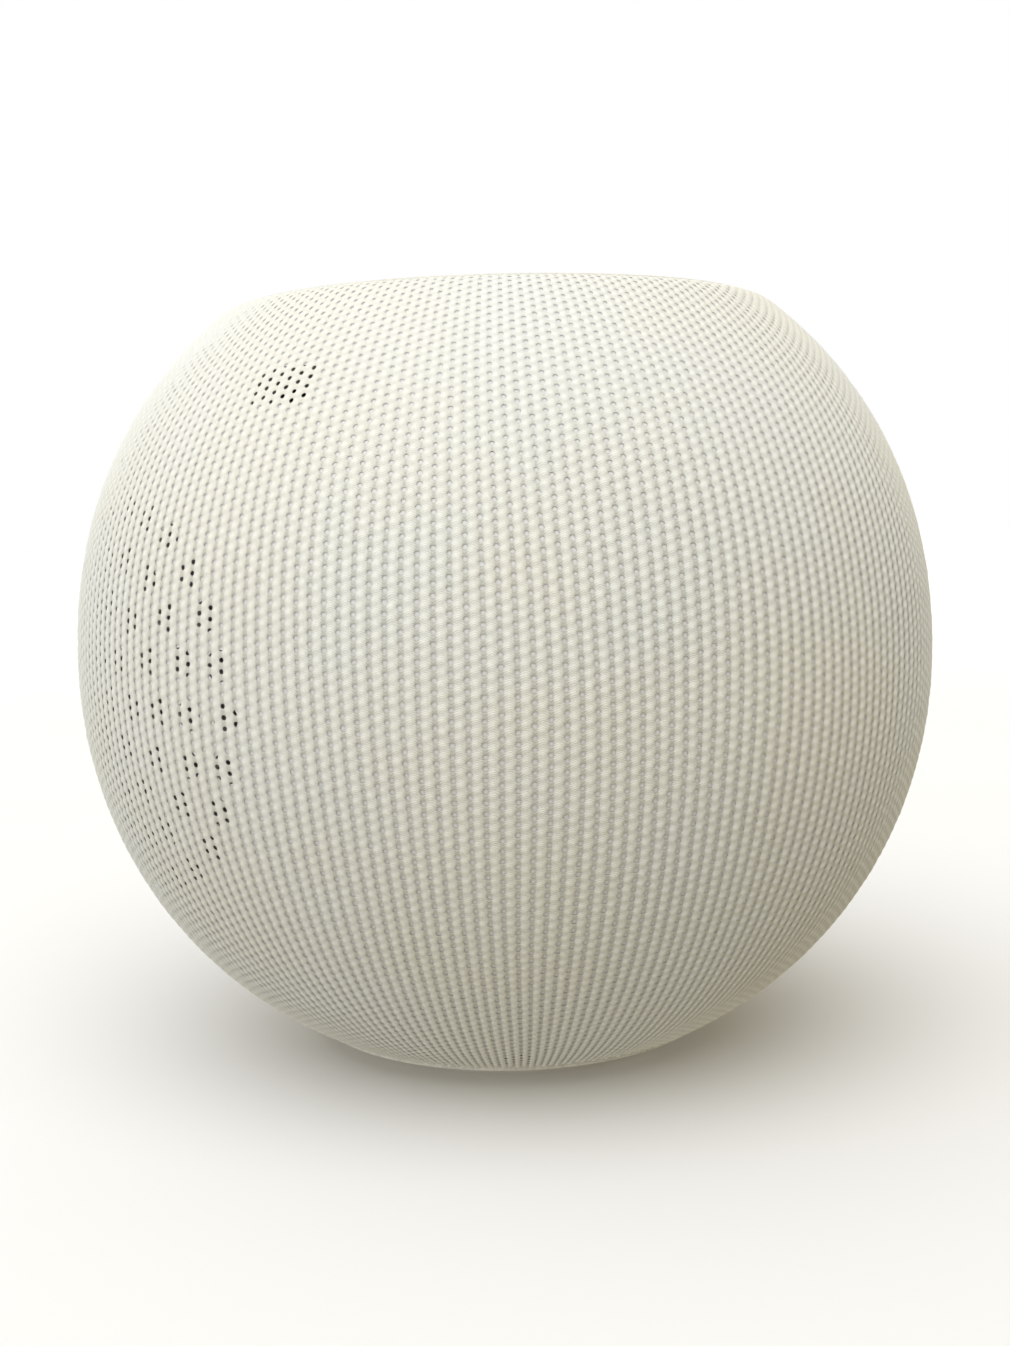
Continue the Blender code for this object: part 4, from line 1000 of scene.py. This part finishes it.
def make_knit_look():
    """Cream yarn, with painted shade: greyer by the eyes and on the low ground between two crests."""
    look = Look("knit_yarn_painted_shade", (0.80, 0.78, 0.70), 0.86, Sheen_Weight=0.25, Sheen_Roughness=0.5)
    look.set("Specular IOR Level", 0.3)
    stitch = look.node("ShaderNodeAttribute", attribute_name="stitch")
    split = look.node("ShaderNodeSeparateXYZ")
    look.join(stitch.outputs["Vector"], split.inputs["Vector"])
    beside, along, crest = (split.outputs[axis] for axis in "XYZ")
    # Painted shade: the yarn is greyer towards its column of eyes, where the grooves lie.
    yarn = look.ramp(
        beside,
        (0.12, (0.67, 0.665, 0.60)),
        (0.22, (0.84, 0.835, 0.765)),
        (0.36, (0.88, 0.875, 0.81)),
    )
    # Painted shade: the low ground between the crests is darker, with a faint painted highlight on the
    # crests.
    yarn = look.mix(yarn, look.ramp(crest, (0.1, 0.88), (0.8, 1.03)), 1.0, "MULTIPLY")
    cast = look.ramp(look.noise(38.0, 2.0), (0.38, (0.985, 1.0, 1.02)), (0.62, (1.0, 0.985, 0.95)))
    yarn = look.mix(yarn, cast, 0.8, "MULTIPLY")
    fibres = look.noise(1.0, 3.0, look.object_point((3800.0, 3800.0, 1500.0)))
    yarn = look.mix(yarn, look.ramp(fibres, (0.3, 0.90), (0.7, 1.04)), 0.6, "MULTIPLY")
    look.colour(yarn)
    look.roughness(look.ramp(fibres, (0.3, 0.78), (0.7, 0.94)))
    # The yarn's strands slant across each wale, five to a row.
    slant = look.maths("ADD", look.maths("MULTIPLY", along, 31.4), look.maths("MULTIPLY", beside, 22.0))
    strands = look.maths("SINE", slant)
    look.bump(look.maths("ADD", fibres, look.maths("MULTIPLY", strands, 0.35)), 0.05, 0.6)
    return look.made


def make_hem_look():
    look = Look("hem_yarn", (0.78, 0.76, 0.68), 0.86, Sheen_Weight=0.25)
    wave = look.noise(1.0, 2.0, look.object_point((2600.0, 2600.0, 900.0)))
    look.colour(look.ramp(wave, (0.3, (0.60, 0.585, 0.51)), (0.7, (0.78, 0.765, 0.69))))
    look.bump(wave, 0.08, 0.8)
    return look.made


def circuit():
    """Green board with faint tracks and gold pads."""
    look = Look("circuit_board", (0.02, 0.15, 0.07), 0.42, Coat_Weight=0.3)
    cells = look.node("ShaderNodeTexVoronoi", Scale=620.0, distance="CHEBYCHEV", Randomness=0.75)
    look.join(look.object_point(), cells.inputs["Vector"])
    tracks = look.ramp(cells.outputs["Distance"], (0.52, (0.015, 0.11, 0.05)), (0.60, (0.03, 0.19, 0.085)))
    pads = look.node("ShaderNodeTexVoronoi", Scale=330.0)
    look.join(look.object_point(), pads.inputs["Vector"])
    gold = look.ramp(pads.outputs["Distance"], (0.12, 1.0), (0.15, 0.0))
    look.colour(look.mix(tracks, (0.72, 0.53, 0.22), gold))
    look.roughness(look.ramp(gold, (0.2, 0.45), (0.8, 0.25)))
    look.bump(cells.outputs["Distance"], 0.03)
    return look.made


def cloth(name, colour, scale):
    """A plain weave for the spider."""
    look = Look(name, colour, 0.9, Sheen_Weight=0.2)
    across = look.node("ShaderNodeTexWave", Scale=scale, bands_direction="X")
    along = look.node("ShaderNodeTexWave", Scale=scale, bands_direction="Y")
    for wave in (across, along):
        look.join(look.object_point(), wave.inputs["Vector"])
    weave = look.maths("MULTIPLY", across.outputs["Fac"], along.outputs["Fac"])
    low = tuple(c * 0.6 for c in colour)
    look.colour(look.ramp(weave, (0.1, low), (0.7, colour)))
    look.bump(weave, 0.06)
    return look.made


def winding():
    look = Look("copper_winding", (0.72, 0.33, 0.15), 0.32, 1.0)
    turns = look.node("ShaderNodeTexWave", Scale=1600.0, bands_direction="Z")
    look.join(look.object_point(), turns.inputs["Vector"])
    look.colour(look.ramp(turns.outputs["Fac"], (0.1, (0.30, 0.10, 0.04)), (0.6, (0.78, 0.38, 0.18))))
    look.roughness(look.ramp(turns.outputs["Fac"], (0.1, 0.55), (0.7, 0.25)))
    look.bump(turns.outputs["Fac"], 0.04)
    return look.made


def make_looks():
    return {
        "knit": make_knit_look(),
        "hem": make_hem_look(),
        "shell": plastic("white_shell", (0.74, 0.727, 0.715), 0.5, 0.03),
        "panel": plastic("touch_surface", (0.66, 0.66, 0.65), 0.14, 0.002, 0.6, 0.015),
        "trim": plastic("pale_trim", (0.60, 0.595, 0.57), 0.38, 0.012, 0.0, 0.03),
        "film": plastic("sensor_film", (0.55, 0.56, 0.56), 0.25, 0.004),
        "diffuser": plastic("milky_diffuser", (0.86, 0.86, 0.86), 0.5, 0.01),
        "circuit": circuit(),
        "flex": plastic("amber_flex", (0.45, 0.20, 0.04), 0.4, 0.006),
        "aluminium": brushed("brushed_aluminium", (0.75, 0.76, 0.77), 0.35, 0),
        "tin": brushed("tinned_steel", (0.66, 0.67, 0.68), 0.3, 1),
        "ferrite": plastic("ferrite", (0.05, 0.05, 0.055), 0.6, 0.06, 0.0, 0.3),
        "can": plastic("capacitor_sleeve", (0.10, 0.11, 0.14), 0.35, 0.004),
        "steel": brushed("screw_steel", (0.55, 0.56, 0.57), 0.3, 2),
        "box": plastic("dark_grey_plastic", (0.085, 0.085, 0.09), 0.55, 0.05, 0.0, 0.15),
        "rubber": plastic("black_rubber", (0.03, 0.03, 0.03), 0.7, 0.02, 0.0, 0.2),
        "basket": plastic("basket_plastic", (0.05, 0.05, 0.055), 0.5, 0.03, 0.0, 0.15),
        "zinc": brushed("zinc_plate", (0.60, 0.61, 0.62), 0.35, 2),
        "spider": cloth("spider_cloth", (0.50, 0.36, 0.14), 1500.0),
        "cone": plastic("paper_cone", (0.065, 0.065, 0.07), 0.8, 0.09, 0.0, 0.3),
        "copper": winding(),
        "diaphragm": plastic("radiator_plastic", (0.09, 0.09, 0.095), 0.45, 0.02, 0.0, 0.15),
        "base": plastic("base_plastic", (0.70, 0.69, 0.66), 0.5, 0.03),
        "foot": plastic("foot_silicone", (0.62, 0.61, 0.58), 0.72, 0.015, 0.0, 0.04),
        "wire": plastic("wire_sleeve", (0.02, 0.02, 0.02), 0.5, 0.01),
        "red_wire": plastic("red_wire_sleeve", (0.45, 0.03, 0.02), 0.5, 0.01),
    }


def finish_cad_nodes(looks):
    """Every node that keeps its own solid gets the finished material of its slot."""
    for row in frame["record"]["subparts"]:
        node = frame["nodes"][row["node"]]
        look = looks[row["material_slot"]]
        node.data.materials.clear()
        node.data.materials.append(look)


# The studio


def make_camera():
    """Makes the camera, and returns the directions from the ball to it and to its right."""
    azimuth = math.radians(CAMERA_AZIMUTH)
    elevation = math.radians(CAMERA_ELEVATION)
    level = math.cos(elevation)
    back = Vector((math.sin(azimuth) * level, -math.cos(azimuth) * level, math.sin(elevation)))
    camera = add_object("camera", bpy.data.cameras.new("camera"))
    camera.data.sensor_width = SENSOR_WIDTH
    camera.data.lens = LENS
    camera.data.clip_start = 0.005
    camera.location = (Vector((0, 0, BALL_CENTRE_Z)) + back * CAMERA_DISTANCE) * MM
    aim = (-back).to_track_quat("-Z", "Y").to_matrix().to_4x4()
    tilt = Matrix.Rotation(math.radians(CAMERA_TILT), 4, "X")
    roll = Matrix.Rotation(math.radians(CAMERA_ROLL), 4, "Z")
    camera.rotation_euler = (aim @ roll @ tilt).to_euler()
    bpy.context.scene.camera = camera
    return back, aim.to_3x3() @ Vector((1, 0, 0))


def make_floor():
    """Pale paper that turns white far from the object. It sends no light up to the ball's underside."""
    rim = [radial(360 * i / FINE_STEPS, FLOOR_RADIUS) for i in range(FINE_STEPS)]
    floor = add_mesh("floor", rim, [list(range(FINE_STEPS))], None, smooth=0)
    look = Look("studio_floor", (0.80, 0.795, 0.785), 0.75)
    paper = look.ramp(look.noise(6.0, 2.0), (0.3, (0.79, 0.785, 0.775)), (0.7, (0.81, 0.805, 0.795)))
    away = look.node("ShaderNodeVectorMath", operation="LENGTH")
    look.join(look.object_point(), away.inputs[0])
    far = look.ramp(away.outputs["Value"], (0.3, 0.0), (1.0, 1.0))
    look.colour(look.mix(paper, (0.92, 0.92, 0.92), far))
    floor.data.materials.append(look.made)
    floor.visible_diffuse = False


def make_sun(toward):
    way = (toward * 0.4 + Vector((0, 0, 0.8))).normalized()
    sun = add_object("key", bpy.data.lights.new("key", "SUN"))
    sun.data.energy = SUN_STRENGTH
    sun.data.angle = math.radians(SUN_ANGLE)
    sun.rotation_euler = way.to_track_quat("Z", "Y").to_euler()


def world_lean(nodes, links, way):
    """How far each direction of the room leans towards way, from -1 to 1."""
    where = nodes.new("ShaderNodeTexCoord")
    lean = nodes.new("ShaderNodeVectorMath")
    lean.operation = "DOT_PRODUCT"
    lean.inputs[1].default_value = way
    links.new(where.outputs["Generated"], lean.inputs[0])
    return lean.outputs["Value"]


def make_room(toward, right):
    """Lights the scene from all round. The camera itself sees white."""
    world = bpy.data.worlds.new("studio")
    world.use_nodes = True
    nodes = world.node_tree.nodes
    links = world.node_tree.links
    room = nodes["Background"]
    room.inputs["Strength"].default_value = ROOM_STRENGTH
    links.new(room_colour(nodes, links, toward, right), room.inputs["Color"])
    backdrop = nodes.new("ShaderNodeBackground")
    backdrop.inputs["Color"].default_value = (1.0, 1.0, 1.0, 1.0)
    path = nodes.new("ShaderNodeLightPath")
    mix = nodes.new("ShaderNodeMixShader")
    links.new(path.outputs["Is Camera Ray"], mix.inputs["Fac"])
    links.new(room.outputs["Background"], mix.inputs[1])
    links.new(backdrop.outputs["Background"], mix.inputs[2])
    links.new(mix.outputs["Shader"], nodes["World Output"].inputs["Surface"])
    bpy.context.scene.world = world


def room_colour(nodes, links, toward, right):
    """The room is brightest high up on the camera's left, and dim and warm low down on its right."""
    bright = (-right * 0.26 + Vector((0, 0, 0.243)) + toward * 0.104).normalized()
    share = nodes.new("ShaderNodeMapRange")
    share.inputs["From Min"].default_value = -1.0
    links.new(world_lean(nodes, links, bright), share.inputs["Value"])
    dome = nodes.new("ShaderNodeValToRGB")
    shades = dome.color_ramp.elements
    shades.new(0.5)
    for shade, colour in zip(shades, ROOM_SHADES):
        shade.color = (*colour, 1.0)
    links.new(share.outputs["Result"], dome.inputs["Fac"])
    # A little more light from behind keeps the far side of the ball from going dull.
    lobe = nodes.new("ShaderNodeMath")
    lobe.operation = "MULTIPLY"
    lobe.use_clamp = True
    lobe.inputs[1].default_value = BACK_FILL
    links.new(world_lean(nodes, links, -toward), lobe.inputs[0])
    total = nodes.new("ShaderNodeMix")
    total.data_type = "RGBA"
    total.blend_type = "ADD"
    total.inputs["Factor"].default_value = 1.0
    colours = [socket for socket in total.inputs if socket.type == "RGBA"]
    links.new(dome.outputs["Color"], colours[0])
    links.new(lobe.outputs["Value"], colours[1])
    return next(socket for socket in total.outputs if socket.type == "RGBA")


def make_studio():
    back, right = make_camera()
    toward = Vector((back.x, back.y, 0)).normalized()
    make_floor()
    make_sun(toward)
    make_room(toward, right)
    bpy.context.scene.view_settings.view_transform = "Standard"


def main():
    looks = make_looks()
    make_studio()
    finish_cad_nodes(looks)
    knit = make_knit(looks["knit"])
    hems = make_hems(looks["hem"])
    make_shells(looks["shell"])
    make_top(looks)
    make_base(looks)
    make_inlet(looks)
    make_soft_rings(looks)
    make_inside(looks)


main()
